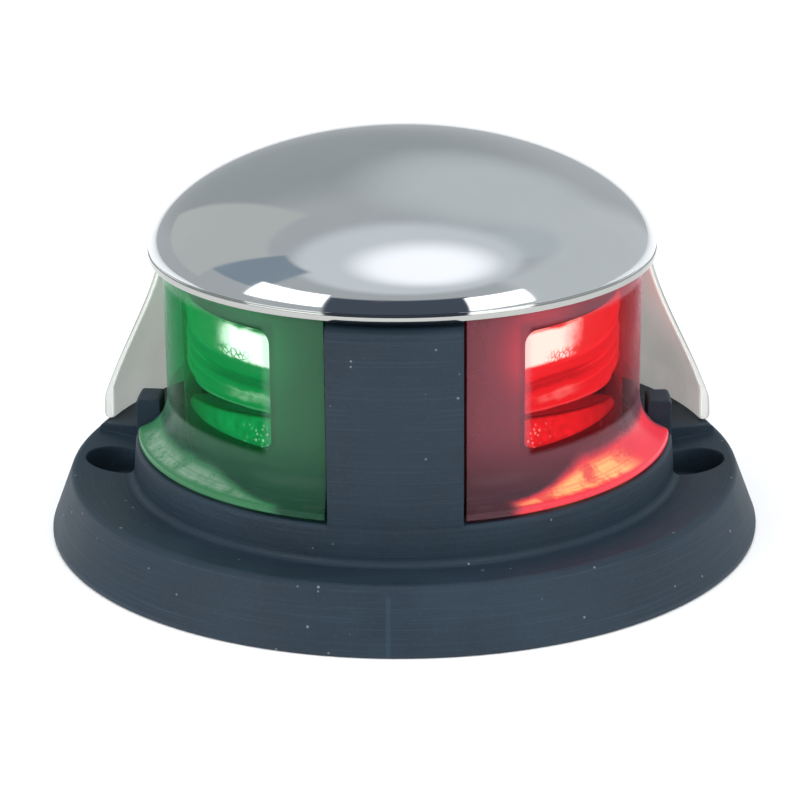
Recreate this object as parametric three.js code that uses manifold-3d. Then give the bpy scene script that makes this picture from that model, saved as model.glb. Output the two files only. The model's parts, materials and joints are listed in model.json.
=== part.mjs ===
// Bicolour deck navigation light: a navy moulded base with a front divider, a green starboard lens,
// a red port lens, and a chromed hood with a flared skirt round the back. LED optics and their driver
// sit inside. Millimetres, +Z up. The origin is the centre of the base's underside. The front of the
// light faces -Y, so the green starboard side is at -X and the red port side is at +X. Azimuths are
// degrees from the front, positive towards port.

import * as THREE from 'three';
import { mergeVertices } from 'three/addons/utils/BufferGeometryUtils.js';
import Module from 'manifold-3d';

const wasm = await Module();
wasm.setup();

// ---- driving dimensions -------------------------------------------------------------------------

const gap = 0.3; // clearance left between pieces that touch
const shellSegments = 56; // facets round the base, the housing, the lenses and the hood
const roundSegments = 36; // facets round the smaller turned pieces
const rodSegments = 16; // facets round bosses and holes

// base moulding
const baseRadius = 41.25;
const shoulderRadius = 38.6;
const flangeTop = 7.2;
const flangeInner = 6.2; // the flange's top falls slightly towards the ring
const platformTop = 8;
const platformAzimuth = 103;
const ringFootRadius = 31.6;
const ringRadius = 31.2;
const ringTop = 10.5;
const pillarHalfWidth = 7.25;
const pillarTop = 31.9;
const cavityRadius = 21;
const ledgeHeight = 10.2;
const boardPocketRadius = 22.6;
const coverPocketRadius = 23.9;
const coverPocketDepth = 3.2;

// deck screws pass through two holes, each sunk in a round pocket that the ring's side cuts off
const deckHoleRadius = 34.4;
const deckHoleBore = 1.9;
const deckPocketCentre = 33.1;
const deckPocketRadius = 4.1;
const deckHeadSeat = 3.2;

// deck gasket let into the underside
const gasketInner = 27.3;
const gasketOuter = 39.2;
const gasketThickness = 1.2;

// light housing and its two windows
const housingRadius = 25.1;
const housingWall = 1.6;
const housingTop = 33.2;
const housingRoof = 31;
const windowFront = 33.3;
const windowRear = 113;
const windowBottom = 15.2;
const windowTop = 29;
const windowCorner = 1.4;

// lenses
const lensRadius = 27.4;
const lensWall = 2;
const lensRear = 116;
const footRadius = 30.9;
const footThickness = 0.8;
const footRear = 86.5;
const coveHeight = 3.2;

// stop block on the ring behind each lens foot
const stopInner = 28.4;
const stopFront = 87.5;
const stopRear = 95.5;
const stopTop = 14.4;

// hood
const hoodWall = 1.2;
const skirtWall = 0.8;
const domeRadius = 29;
const domeShoulder = 33.6;
const domeTop = 45.8;
const domeFullness = 1.14;
const rimRadius = 28.8;
const rimBottom = 32.5;
const lipInner = 27.8;
const hoodLedge = 34.8;
const ledgeInner = 25;
const skirtAzimuth = 105;
const skirtRadius = 37.95;
const neckRadius = 29.4;
const neckHeight = 33;
const bellUpper = [30.1, 25.2]; // control points of the bell curve
const bellLower = [34.8, 19.2];
const hemTop = 11.2;
const hemThickness = 1.4;

// driver board, heat sink and LED boards
const boardRadius = 22.2;
const boardThickness = 1.6;
const bossRadius = 3;
const bossCentre = 13.3;
const sinkBottom = 13.9;
const plateThickness = 1.7;
const sinkRadius = 21;
const padRadius = 14;
const prismTop = 28.5;
const ledAzimuth = 56;
const faceDistance = 8;
const ledHeight = 25.4;

// optics and reflector trays
const opticOuter = 23.2;
const opticInner = 18.6;
const opticFace = 24.95; // both reach this far out through the window
const opticFront = 34.1;
const opticRear = 112;
const opticTop = 29.6;
const trayInner = 20.1;
const trayRear = 76;

// ---- materials ----------------------------------------------------------------------------------

function finish(color, roughness, metalness = 0, extra = {}) {
  return new THREE.MeshStandardMaterial({ color, roughness, metalness, ...extra });
}

const clear = { transparent: true, opacity: 0.6 };
const materials = {
  navyPlastic: finish(0x2b3a48, 0.5),
  chrome: finish(0xc4c9cc, 0.12, 1),
  greenLens: finish(0x0c8a4a, 0.12, 0, clear),
  redLens: finish(0xc01a24, 0.12, 0, clear),
  clearOptic: finish(0xe8ecea, 0.1, 0, clear),
  whiteReflector: finish(0xe4e4df, 0.45),
  blackPlastic: finish(0x17191b, 0.6),
  blackRubber: finish(0x151515, 0.9),
  greyPad: finish(0x8f9599, 0.9),
  aluminium: finish(0xb4b8ba, 0.4, 1),
  stainless: finish(0xa9acad, 0.3, 1),
  brass: finish(0xb5974a, 0.35, 1),
  boardGreen: finish(0x1d5a38, 0.55),
  boardWhite: finish(0xe9e9e4, 0.5),
  ledPackage: finish(0xf3e9a6, 0.3),
  capacitorSleeve: finish(0x20242c, 0.45),
  wire: finish(0x1c1c1e, 0.6),
};

// ---- geometry helpers ---------------------------------------------------------------------------

const radians = THREE.MathUtils.degToRad;

// The sign of the enclosed volume tells which way a closed mesh faces.
function facesInward(position, index) {
  const corners = [0, 1, 2].map(() => new THREE.Vector3());
  let sum = 0;
  for (let i = 0; i < index.length; i += 3) {
    corners.forEach((corner, k) => corner.fromBufferAttribute(position, index[i + k]));
    sum += corners[0].dot(corners[1].clone().cross(corners[2]));
  }
  return sum < 0;
}

function solid(geometry) {
  geometry.deleteAttribute('normal');
  geometry.deleteAttribute('uv');
  const merged = mergeVertices(geometry, 1e-4);
  const index = merged.index.array;
  const flip = facesInward(merged.attributes.position, index);
  const triangles = [];
  for (let i = 0; i < index.length; i += 3) {
    const [a, b, c] = index.slice(i, i + 3);
    if (a !== b && b !== c && c !== a) {
      triangles.push(a, flip ? c : b, flip ? b : c);
    }
  }
  return new wasm.Manifold(new wasm.Mesh({
    numProp: 3,
    vertProperties: new Float32Array(merged.attributes.position.array),
    triVerts: new Uint32Array(triangles),
  }));
}

function piece(name, body, material) {
  const { vertProperties, triVerts } = body.getMesh();
  const geometry = new THREE.BufferGeometry();
  geometry.setAttribute('position', new THREE.BufferAttribute(new Float32Array(vertProperties), 3));
  geometry.setIndex(new THREE.BufferAttribute(new Uint32Array(triVerts), 1));
  geometry.computeVertexNormals();
  const mesh = new THREE.Mesh(geometry, materials[material]);
  mesh.name = name;
  return mesh;
}

// Turns an outline of (radius, height) points round the Z axis.
function turned(points, segments = roundSegments) {
  return solid(new THREE.LatheGeometry(points, segments).rotateX(Math.PI / 2));
}

function path(r, z) {
  return new THREE.Path().moveTo(r, z);
}

function tube(inner, outer, bottom, top, segments = roundSegments) {
  const outline = path(inner, bottom)
    .lineTo(outer, bottom)
    .lineTo(outer, top)
    .lineTo(inner, top)
    .lineTo(inner, bottom);
  return turned(outline.getPoints(), segments);
}

function rod(radius, bottom, top, x = 0, y = 0, segments = rodSegments) {
  const cylinder = new THREE.CylinderGeometry(radius, radius, top - bottom, segments);
  return solid(cylinder.rotateX(Math.PI / 2).translate(x, y, (bottom + top) / 2));
}

function block(xRange, yRange, zRange) {
  const ranges = [xRange, yRange, zRange];
  const box = new THREE.BoxGeometry(...ranges.map(([low, high]) => high - low));
  return solid(box.translate(...ranges.map(([low, high]) => (low + high) / 2)));
}

const farAway = 60; // beyond every face of the light, for cutting bodies

// A pie slice between two azimuths, wide enough to take in the whole light.
function slice(from, to, bottom = -1, top = farAway) {
  const shape = new THREE.Shape()
    .moveTo(0, 0)
    .absarc(0, 0, farAway, radians(from - 90), radians(to - 90), false)
    .lineTo(0, 0);
  const wedge = new THREE.ExtrudeGeometry(shape, { depth: top - bottom, bevelEnabled: false });
  return solid(wedge.translate(0, 0, bottom));
}

// Everything above a plane that rises towards the front: z = height - slope * y.
function aboveRamp(height, slope) {
  const shape = new THREE.Shape()
    .moveTo(-farAway, height + slope * farAway)
    .lineTo(farAway, height - slope * farAway)
    .lineTo(farAway, farAway * 2)
    .lineTo(-farAway, farAway * 2);
  const ramp = new THREE.ExtrudeGeometry(shape, { depth: farAway * 2, bevelEnabled: false });
  ramp.translate(0, 0, -farAway).rotateX(Math.PI / 2).rotateZ(Math.PI / 2);
  return solid(ramp);
}

function polar(radius, azimuth) {
  return [radius * Math.sin(radians(azimuth)), -radius * Math.cos(radians(azimuth))];
}

function mirrored(body) {
  return body.mirror([1, 0, 0]);
}

// Names and materials of the two sides. Each side's pieces are drawn at port and mirrored.
const sides = [
  { name: 'port', sign: 1, lens: 'redLens' },
  { name: 'starboard', sign: -1, lens: 'greenLens' },
];

function forSide(side, body) {
  return side.sign > 0 ? body : mirrored(body);
}

// A pan-head screw with its head down and its shank pointing up.
function screwBody(headRadius, headHeight, shankRadius, length, segments = 10) {
  const chamfer = headRadius * 0.25;
  const outline = path(0, 0)
    .lineTo(headRadius - chamfer, 0)
    .lineTo(headRadius, chamfer)
    .lineTo(headRadius, headHeight)
    .lineTo(shankRadius, headHeight)
    .lineTo(shankRadius, headHeight + length - shankRadius)
    .lineTo(0, headHeight + length);
  const slotReach = headRadius * 0.6;
  const slotDepth = headHeight * 0.45;
  const drive = block([-slotReach, slotReach], [-0.25, 0.25], [-1, slotDepth]);
  const cross = drive.add(drive.rotate([0, 0, 90]));
  return turned(outline.getPoints(), segments).subtract(cross);
}

// ---- base ---------------------------------------------------------------------------------------

function baseOutline() {
  const grooveTop = gasketThickness + gap;
  const grooveInner = gasketInner - gap;
  const grooveOuter = gasketOuter + gap;
  return path(coverPocketRadius, 0)
    .lineTo(grooveInner, 0)
    .lineTo(grooveInner, grooveTop)
    .lineTo(grooveOuter, grooveTop)
    .lineTo(grooveOuter, 0)
    .lineTo(baseRadius - 0.6, 0)
    .quadraticCurveTo(baseRadius, 0, baseRadius, 0.6)
    .lineTo(shoulderRadius + 0.5, flangeTop - 1)
    .quadraticCurveTo(shoulderRadius, flangeTop, shoulderRadius - 0.9, flangeTop)
    .lineTo(ringFootRadius + 0.9, flangeInner)
    .quadraticCurveTo(ringFootRadius, flangeInner, ringFootRadius - 0.1, flangeInner + 0.9)
    .lineTo(ringRadius, ringTop - 0.4)
    .lineTo(ringRadius - 0.4, ringTop)
    .lineTo(sealOuter + gap, ringTop)
    .lineTo(sealOuter + gap, sealBottom - gap)
    .lineTo(sealInner - gap, sealBottom - gap)
    .lineTo(sealInner - gap, ringTop)
    .lineTo(boardPocketRadius, ringTop)
    .lineTo(boardPocketRadius, ledgeHeight)
    .lineTo(cavityRadius, ledgeHeight)
    .lineTo(cavityRadius, coverPocketDepth)
    .lineTo(oRingRadius - oRingSection - gap, coverPocketDepth)
    .lineTo(oRingRadius - oRingSection - gap, oRingHeight + oRingSection + gap)
    .lineTo(oRingRadius + oRingSection + gap, oRingHeight + oRingSection + gap)
    .lineTo(oRingRadius + oRingSection + gap, coverPocketDepth)
    .lineTo(coverPocketRadius, coverPocketDepth)
    .lineTo(coverPocketRadius, 0)
    .getPoints(2);
}

// Seal under each lens foot, in a groove in the ring's top face.
const sealInner = 26.1;
const sealOuter = 27.9;
const sealBottom = 9.6;
const sealFront = 17.5; // degrees, just clear of the divider

// O-ring between the bottom cover and the shoulder above it.
const oRingRadius = 22.5;
const oRingSection = 0.55;
const oRingHeight = 3.75;

// Four bosses stand at the corners of a square. Cover screws enter all four from below.
const bossSpots = [[1, -1], [1, 1], [-1, 1], [-1, -1]].map((spot) => spot.map((c) => c * bossCentre));
const coverScrewBore = 1.4;

// The hood bolt runs up the middle from a stiffened column.
const columnRadius = 4.6;
const webThickness = 3;
const webBottom = 5.6;
const boltBore = 2.4;
const boltHeadRadius = 3.5;
const boltHeadBottom = 3.5;
const boltHeadHeight = 1.9;

// Two screws hold the hood's skirt down on the rear platform.
const skirtScrewRadius = 34.6;
const skirtScrewAzimuth = 140;
const skirtScrewBore = 1.5;
const skirtHeadRadius = 2.6;
const skirtHeadSeat = 4;

function rearPlatform() {
  const root = 3; // the platform starts inside the flange
  const inner = ringRadius - 2;
  const outline = path(inner, root)
    .lineTo(shoulderRadius - 0.5, root)
    .lineTo(shoulderRadius - 0.7, platformTop)
    .lineTo(inner, platformTop)
    .lineTo(inner, root);
  return turned(outline.getPoints(), shellSegments).intersect(slice(platformAzimuth, 360 - platformAzimuth));
}

// The divider is flush with the ring's side. Its inner half runs up level with the lens tops.
function frontPillar() {
  const face = tube(housingRadius + gap, ringRadius, sealBottom - 2, pillarTop, shellSegments);
  const back = tube(housingRadius + gap, lensRadius, ringTop - 1, housingTop, shellSegments);
  const width = [-pillarHalfWidth, pillarHalfWidth];
  return face.add(back).intersect(block(width, [-baseRadius, 0], [0, farAway]));
}

function baseStructure() {
  let body = turned(baseOutline(), shellSegments);
  body = body.add(rearPlatform()).add(frontPillar());
  const webReach = cavityRadius + 0.5;
  const web = block([-webReach, webReach], [-webThickness / 2, webThickness / 2], [webBottom, ledgeHeight]);
  body = body.add(web).add(rod(columnRadius, coverPocketDepth, ledgeHeight));
  for (const [x, y] of bossSpots) {
    const shoulder = rod(bossRadius, coverPocketDepth, ledgeHeight, x, y);
    const bridgeReach = bossRadius * 0.7;
    const bridge = block([-bridgeReach, bridgeReach], [0, 3.2], [coverPocketDepth, ledgeHeight])
      .rotate([0, 0, THREE.MathUtils.radToDeg(Math.atan2(y, x)) - 90])
      .translate([x, y, 0]);
    const cavity = rod(cavityRadius + 0.4, 0, ledgeHeight, 0, 0, 48);
    body = body.add(shoulder).add(bridge.intersect(cavity));
  }
  const stops = tube(stopInner, ringRadius, ringTop - 1, stopTop, shellSegments);
  for (const side of sides) {
    body = body.add(forSide(side, stops.intersect(slice(stopFront, stopRear))));
  }
  return body;
}

function makeBase() {
  let body = baseStructure();
  for (const sign of [1, -1]) {
    const pocket = rod(deckPocketRadius, deckHeadSeat, ringTop, sign * deckPocketCentre, 0, 24);
    body = body.subtract(pocket.subtract(rod(ringFootRadius, 0, ringTop + 1, 0, 0, shellSegments)));
    body = body.subtract(rod(deckHoleBore, -1, flangeTop, sign * deckHoleRadius, 0));
    const [screwX, screwY] = polar(skirtScrewRadius, sign * skirtScrewAzimuth);
    body = body.subtract(rod(skirtScrewBore, -1, platformTop + 1, screwX, screwY, 16));
    body = body.subtract(rod(skirtHeadRadius + gap, -1, skirtHeadSeat, screwX, screwY, 16));
  }
  for (const [x, y] of bossSpots) {
    body = body.subtract(rod(coverScrewBore, 0, ledgeHeight + 1, x, y, 12));
  }
  body = body.subtract(rod(boltBore, 0, ledgeHeight + 1, 0, 0));
  const headClearance = boltHeadRadius + gap;
  const boltSeat = boltHeadBottom + boltHeadHeight + gap;
  body = body.subtract(rod(headClearance, 0, boltSeat, 0, 0));
  return piece('base', body, 'navyPlastic');
}

function makeDeckGasket() {
  let body = tube(gasketInner, gasketOuter, 0, gasketThickness);
  for (const sign of [1, -1]) {
    body = body.subtract(rod(deckHoleBore + 0.4, -1, gasketThickness + 1, sign * deckHoleRadius, 0));
  }
  return piece('deck_gasket', body, 'blackRubber');
}

// ---- bottom cover, its seal, grommet and screws -------------------------------------------------

const coverBottom = 0.5;
const coverTop = coverPocketDepth - gap;
const coverRadius = coverPocketRadius - gap;
const grommetY = 13.5;
const grommetNeck = 4;
const grommetLip = 5.4;
const grommetBore = 2;
const grommetRecess = 1.6;
const grommetBottom = 0.3;
const grommetTop = coverTop + 1.6;
const coverHeadRadius = 2.4;
const coverHeadHeight = 1.1;
const coverScrewLength = 5.4;
const coverHeadSeat = coverBottom + coverHeadHeight + gap;

function makeBottomCover() {
  let body = turned(path(0, coverBottom)
    .lineTo(coverRadius, coverBottom)
    .lineTo(coverRadius, coverTop)
    .lineTo(0, coverTop)
    .getPoints());
  for (const [x, y] of bossSpots) {
    body = body.subtract(rod(coverScrewBore, 0, coverTop + 1, x, y, 12));
    body = body.subtract(rod(coverHeadRadius + gap, 0, coverHeadSeat, x, y, 16));
  }
  body = body.subtract(rod(grommetNeck + gap, 0, coverTop + 1, 0, grommetY));
  body = body.subtract(rod(grommetLip + gap, 0, grommetRecess, 0, grommetY));
  return piece('bottom_cover', body, 'blackPlastic');
}

function makeCoverORing() {
  const circle = new THREE.Path().absarc(oRingRadius, oRingHeight, oRingSection, 0, 2 * Math.PI, false);
  return piece('cover_o_ring', turned(circle.getPoints(4)), 'blackRubber');
}

function makeCableGrommet() {
  const outline = path(grommetBore, grommetBottom)
    .lineTo(grommetLip, grommetBottom)
    .lineTo(grommetLip, grommetRecess - gap)
    .lineTo(grommetNeck, grommetRecess - gap)
    .lineTo(grommetNeck, coverTop + gap)
    .lineTo(grommetLip - 0.4, coverTop + gap)
    .lineTo(grommetNeck, grommetTop)
    .lineTo(grommetBore, grommetTop)
    .lineTo(grommetBore, grommetBottom);
  const body = turned(outline.getPoints(), 24).translate([0, grommetY, 0]);
  return piece('cable_grommet', body, 'blackRubber');
}

function makeCoverScrews() {
  const screw = screwBody(coverHeadRadius, coverHeadHeight, coverScrewBore - gap, coverScrewLength);
  return bossSpots.map(([x, y], i) =>
    piece(`cover_screw_${i + 1}`, screw.translate([x, y, coverBottom]), 'stainless'));
}

// ---- driver board and what it carries ------------------------------------------------------------

const boardBottom = ledgeHeight + gap;
const boardTop = boardBottom + boardThickness;
const componentTop = ledgeHeight;
const driverScrewSpots = [bossSpots[0], bossSpots[2]];
const driverScrew = { head: 2, headHeight: 1, length: 3.4 };
const leadSpot = [15.2, 9.6];
const leadRadius = 0.7;

// Each component hangs under the board: a height to hang down to, and where it stands.
const capacitor = { radius: 3.2, x: 8.5, y: -7.5, bottom: 4.4 };
const choke = { x: [-11.2, -4.4], y: [-10, -3.2], bottom: 6.6, coreRadius: 2.6, coreBottom: 6 };
const chip = { x: [-2.8, 2.8], y: [-13.2, -9.2], bottom: 8.7 };
const terminals = { x: [8, 16], y: [3, 9], bottom: 4.4, mouths: [[9, 11.6], [12.4, 15]] };
const terminalMouthDepth = 4.6;
const terminalMouthTop = 7;

function makeDriverBoard() {
  let body = turned(path(0, boardBottom)
    .lineTo(boardRadius, boardBottom)
    .lineTo(boardRadius, boardTop)
    .lineTo(0, boardTop)
    .getPoints());
  body = body.subtract(rod(boltBore, 0, boardTop + 1));
  for (const [x, y] of driverScrewSpots) {
    body = body.subtract(rod(coverScrewBore, 0, boardTop + 1, x, y, 12));
  }
  return piece('driver_board', body, 'boardGreen');
}

function makeDriverScrews() {
  const { head, headHeight, length } = driverScrew;
  const screw = screwBody(head, headHeight, coverScrewBore - gap, length).rotate([180, 0, 0]);
  return driverScrewSpots.map(([x, y], i) =>
    piece(`driver_screw_${i + 1}`, screw.translate([x, y, boardTop + gap + headHeight]), 'stainless'));
}

function makeCapacitor() {
  const { radius, x, y, bottom } = capacitor;
  return piece('capacitor', rod(radius, bottom, componentTop, x, y, 20), 'capacitorSleeve');
}

function makeInductor() {
  const [x, y] = [choke.x, choke.y].map(([low, high]) => (low + high) / 2);
  const core = rod(choke.coreRadius, choke.coreBottom, choke.bottom + 0.4, x, y);
  return piece('inductor', block(choke.x, choke.y, [choke.bottom, componentTop]).add(core), 'blackPlastic');
}

function makeDriverChip() {
  return piece('driver_chip', block(chip.x, chip.y, [chip.bottom, componentTop]), 'blackPlastic');
}

// The wire mouths open towards the middle of the board.
function makeTerminalBlock() {
  const [near] = terminals.y;
  let body = block(terminals.x, terminals.y, [terminals.bottom, componentTop]);
  for (const mouth of terminals.mouths) {
    body = body.subtract(block(mouth, [near - 1, near + terminalMouthDepth], [0, terminalMouthTop]));
  }
  return piece('terminal_block', body, 'boardWhite');
}

// ---- heat sink, LED boards and LEDs -------------------------------------------------------------

const sinkTop = sinkBottom + plateThickness;
const faceFrontY = -10;
const faceRearY = 6;
const ledBoardHalfWidth = 7.5;
const ledBoardThickness = 1;
const ledBoardScrewReach = 5.6;
const ledBoardScrewHeight = 18;
const ledBoardScrewBore = 1.2;
const ledBoardScrew = { head: 1.9, headHeight: 1.1, shank: 0.9, length: 4 };
const ledOffset = -3.4;
const ledPackage = { half: 1.8, thickness: 0.8 };
const ledDome = { radius: 1.4, side: 1, top: 2.2 };

// Places a body drawn on a face that looks along +X, with +Y towards the rear, onto the port face
// of the heat sink's prism.
function onPortFace(body, distance) {
  const faceLine = ledAzimuth - 90;
  const middle = (faceFrontY + faceRearY) / 2;
  const slide = (middle + faceDistance * Math.cos(radians(ledAzimuth))) / Math.sin(radians(ledAzimuth));
  return body.translate([distance, slide, 0]).rotate([0, 0, faceLine]);
}

function facePoint(y) {
  return (faceDistance + y * Math.cos(radians(ledAzimuth))) / Math.sin(radians(ledAzimuth));
}

// Two screws hold an LED board, one low at the front and one low at the rear.
const ledScrewSpots = [ledBoardScrewReach, -ledBoardScrewReach].map((y) => [y, ledBoardScrewHeight]);

function ledScrewHoles(from, to) {
  return ledScrewSpots.map(([y, z]) =>
    rod(ledBoardScrewBore, from, to, 0, 0, 12).rotate([0, 90, 0]).translate([0, y, z]));
}

function makeHeatSink() {
  const shape = new THREE.Shape()
    .moveTo(facePoint(faceFrontY), faceFrontY)
    .lineTo(facePoint(faceRearY), faceRearY)
    .lineTo(-facePoint(faceRearY), faceRearY)
    .lineTo(-facePoint(faceFrontY), faceFrontY);
  const prism = new THREE.ExtrudeGeometry(shape, { depth: prismTop - sinkTop + 1, bevelEnabled: false });
  const plate = rod(sinkRadius, sinkBottom, sinkTop, 0, 0, 48);
  let body = plate.add(solid(prism.translate(0, 0, sinkTop - 1))).subtract(rod(boltBore, 0, prismTop + 1));
  for (const side of sides) {
    const [x, y] = leadSpot;
    body = body.subtract(rod(leadRadius + 2 * gap, 0, sinkTop + 1, side.sign * x, y, 12));
    for (const hole of ledScrewHoles(-ledBoardScrew.length, 1)) {
      body = body.subtract(forSide(side, onPortFace(hole, faceDistance)));
    }
  }
  return piece('heat_sink', body, 'aluminium');
}

function makeThermalPad() {
  const pad = tube(boltBore + 2 * gap, padRadius, boardTop + gap, sinkBottom - gap);
  return piece('thermal_pad', pad, 'greyPad');
}

// Where the LED and the board's screw heads stand off the prism's face.
const ledSeat = faceDistance + ledBoardThickness + 2 * gap;

function makeLedBoard(side) {
  const width = [-ledBoardHalfWidth, ledBoardHalfWidth];
  let body = block([0, ledBoardThickness], width, [sinkTop + gap, prismTop]);
  for (const hole of ledScrewHoles(-1, ledBoardThickness + 1)) {
    body = body.subtract(hole);
  }
  return piece(`led_board_${side.name}`, forSide(side, onPortFace(body, faceDistance + gap)), 'boardWhite');
}

function makeLed(side) {
  const { radius, side: domeSide, top } = ledDome;
  const { half, thickness } = ledPackage;
  const dome = path(0, 0)
    .lineTo(radius, 0)
    .lineTo(radius, domeSide)
    .quadraticCurveTo(radius, top, 0, top);
  const body = block([0, thickness], [-half, half], [-half, half])
    .add(turned(dome.getPoints(4), 16).rotate([0, 90, 0]))
    .translate([0, ledOffset, ledHeight]);
  return piece(`led_${side.name}`, forSide(side, onPortFace(body, ledSeat)), 'ledPackage');
}

function makeLedScrews(side) {
  const { head, headHeight, shank, length } = ledBoardScrew;
  return ledScrewSpots.map(([y, z], i) => {
    const screw = screwBody(head, headHeight, shank, length)
      .rotate([0, -90, 0])
      .translate([headHeight, y, z]);
    const body = forSide(side, onPortFace(screw, ledSeat));
    return piece(`led_board_screw_${side.name}_${i + 1}`, body, 'stainless');
  });
}

const leadEndY = 2.2;
const leadEndHeight = 22;

// A short insulated lead from the driver board up through the heat sink to the LED board.
function makeLead(side) {
  const [x, y] = leadSpot;
  const faceNormal = new THREE.Vector3(...polar(1, ledAzimuth), 0);
  const end = new THREE.Vector3(facePoint(leadEndY), leadEndY, leadEndHeight)
    .addScaledVector(faceNormal, ledBoardThickness + 3 * gap);
  const curve = new THREE.CatmullRomCurve3([
    new THREE.Vector3(x, y, boardTop + gap),
    new THREE.Vector3(x, y, sinkTop + 1.5),
    end.clone().addScaledVector(faceNormal, 1.8).add(new THREE.Vector3(0, 0.4, -0.6)),
    end,
  ]);
  const section = new THREE.Shape().absarc(0, 0, leadRadius, 0, 2 * Math.PI, false);
  const extrusion = { steps: 14, extrudePath: curve, curveSegments: 4, bevelEnabled: false };
  const body = solid(new THREE.ExtrudeGeometry(section, extrusion));
  return piece(`led_lead_${side.name}`, forSide(side, body), 'wire');
}

// ---- optics, trays and baffle -------------------------------------------------------------------

const opticRibs = 3;
const ribHeight = 1.6;
const ribDepth = 0.6;
const ribBulge = 0.4; // how far a rib's control point stands past the face
const bandHeight = 5.4;
const trayTopLimit = 24;

// The underside of the optic and the top of the tray are planes that rise towards the front.
const undersideHeight = 17.65;
const undersideSlope = 0.095;
const trayHeight = 15.75;
const traySlope = 0.168;

// Pieces behind a window fill the housing's bore, and a pad on them reaches out through the window.
function throughWindow(body) {
  return body.intersect(rod(opticOuter, 0, farAway, 0, 0, 60).add(windowShape(gap)));
}

// The outer face has one tall band above three shallow ribs. A leg at the inner edge stands on the
// heat sink's plate.
function makeOptic(side) {
  const bandBottom = opticTop - bandHeight;
  const ribFoot = bandBottom - opticRibs * ribHeight;
  const shoulder = undersideHeight - 2;
  const legOuter = trayInner - gap;
  const face = opticFace - ribDepth;
  const outline = path(opticInner, sinkTop + gap)
    .lineTo(legOuter, sinkTop + gap)
    .lineTo(legOuter, shoulder)
    .lineTo(face, shoulder)
    .lineTo(face, ribFoot);
  for (let rib = opticRibs; rib > 0; rib -= 1) {
    const foot = bandBottom - rib * ribHeight;
    outline.quadraticCurveTo(opticFace + ribBulge, foot + ribHeight / 2, face, foot + ribHeight);
  }
  outline
    .quadraticCurveTo(opticFace + ribBulge, (bandBottom + opticTop) / 2, face, opticTop)
    .lineTo(opticInner, opticTop)
    .lineTo(opticInner, sinkTop + gap);
  const ring = turned(outline.getPoints(4), 60).intersect(slice(opticFront, opticRear));
  const above = aboveRamp(undersideHeight, undersideSlope);
  const below = tube(legOuter, opticFace + 1, 0, farAway).subtract(above);
  const body = throughWindow(ring.subtract(below));
  return piece(`optic_${side.name}`, forSide(side, body), 'clearOptic');
}

// A white tray below each optic, its top ramping up towards the front. Its outer part hangs past the
// heat sink's plate, down to the window's lower edge.
function makeTray(side) {
  const ring = tube(trayInner, opticFace, sinkTop + gap, trayTopLimit, 60)
    .add(tube(sinkRadius + gap, opticFace, windowBottom + gap, sinkTop + 2 * gap, 60));
  const ramped = ring.intersect(slice(opticFront, trayRear)).subtract(aboveRamp(trayHeight, traySlope));
  return piece(`reflector_tray_${side.name}`, forSide(side, throughWindow(ramped)), 'whiteReflector');
}

const baffleThickness = 1.8;
const baffleFinWidth = 10;
const baffleFinThickness = 1.4;

// The partition behind the divider keeps the two colours apart.
function makeBaffle() {
  const height = [sinkTop + gap, housingRoof - gap];
  const body = block([-baffleThickness / 2, baffleThickness / 2], [-opticOuter, faceFrontY - gap], height);
  const finFront = -opticOuter + 0.8;
  const finWidth = [-baffleFinWidth / 2, baffleFinWidth / 2];
  const fin = block(finWidth, [finFront, finFront + baffleFinThickness], height);
  return piece('light_baffle', body.add(fin), 'blackPlastic');
}

// ---- housing, lenses and their seals ------------------------------------------------------------

// The port window carried through the housing's wall, with rounded corners, shrunk all round by an inset.
function windowShape(inset = 0) {
  const side = THREE.MathUtils.radToDeg(inset / (housingRadius - housingWall));
  const corner = windowCorner - inset;
  const turn = THREE.MathUtils.radToDeg(corner / housingRadius);
  const azimuths = [windowFront + side, windowRear - side];
  const heights = [windowBottom + inset, windowTop - inset];
  const inwards = ([low, high], amount) => [low + amount, high - amount];
  let shape = slice(...inwards(azimuths, turn), ...heights)
    .add(slice(...azimuths, ...inwards(heights, corner)));
  for (const azimuth of inwards(azimuths, turn)) {
    for (const z of inwards(heights, corner)) {
      const round = rod(corner, 0, farAway)
        .rotate([90, 0, azimuth])
        .translate([0, 0, z]);
      shape = shape.add(round);
    }
  }
  return shape.subtract(rod(opticInner - 1, 0, farAway));
}

function makeHousing() {
  const inner = housingRadius - housingWall;
  const outline = path(inner, ringTop + gap)
    .lineTo(housingRadius, ringTop + gap)
    .lineTo(housingRadius, housingTop)
    .lineTo(boltBore, housingTop)
    .lineTo(boltBore, housingRoof)
    .lineTo(inner, housingRoof)
    .lineTo(inner, ringTop + gap);
  const shell = turned(outline.getPoints(), shellSegments);
  const window = windowShape();
  const body = shell.subtract(window).subtract(mirrored(window));
  return piece('light_housing', body, 'navyPlastic');
}

function makeLens(side) {
  const inner = lensRadius - lensWall;
  const bottom = ringTop + gap;
  const footTop = bottom + footThickness;
  const wall = tube(inner, lensRadius, bottom, housingTop, shellSegments).intersect(slice(0, lensRear));
  const footOutline = path(inner + 0.5, bottom)
    .lineTo(footRadius, bottom)
    .lineTo(footRadius, footTop - 0.2)
    .lineTo(footRadius - 0.3, footTop)
    .quadraticCurveTo(lensRadius, footTop, lensRadius, footTop + coveHeight)
    .lineTo(lensRadius - 0.5, footTop + coveHeight)
    .lineTo(inner + 0.5, bottom);
  const foot = turned(footOutline.getPoints(5), shellSegments).intersect(slice(0, footRear));
  const body = wall.add(foot)
    .intersect(block([pillarHalfWidth + gap, farAway], [-farAway, farAway], [0, farAway]));
  return piece(`lens_${side.name}`, forSide(side, body), side.lens);
}

function makeLensSeal(side) {
  const ring = tube(sealInner, sealOuter, sealBottom, ringTop);
  const body = ring.intersect(slice(sealFront, lensRear - 2));
  return piece(`lens_seal_${side.name}`, forSide(side, body), 'blackRubber');
}

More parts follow.
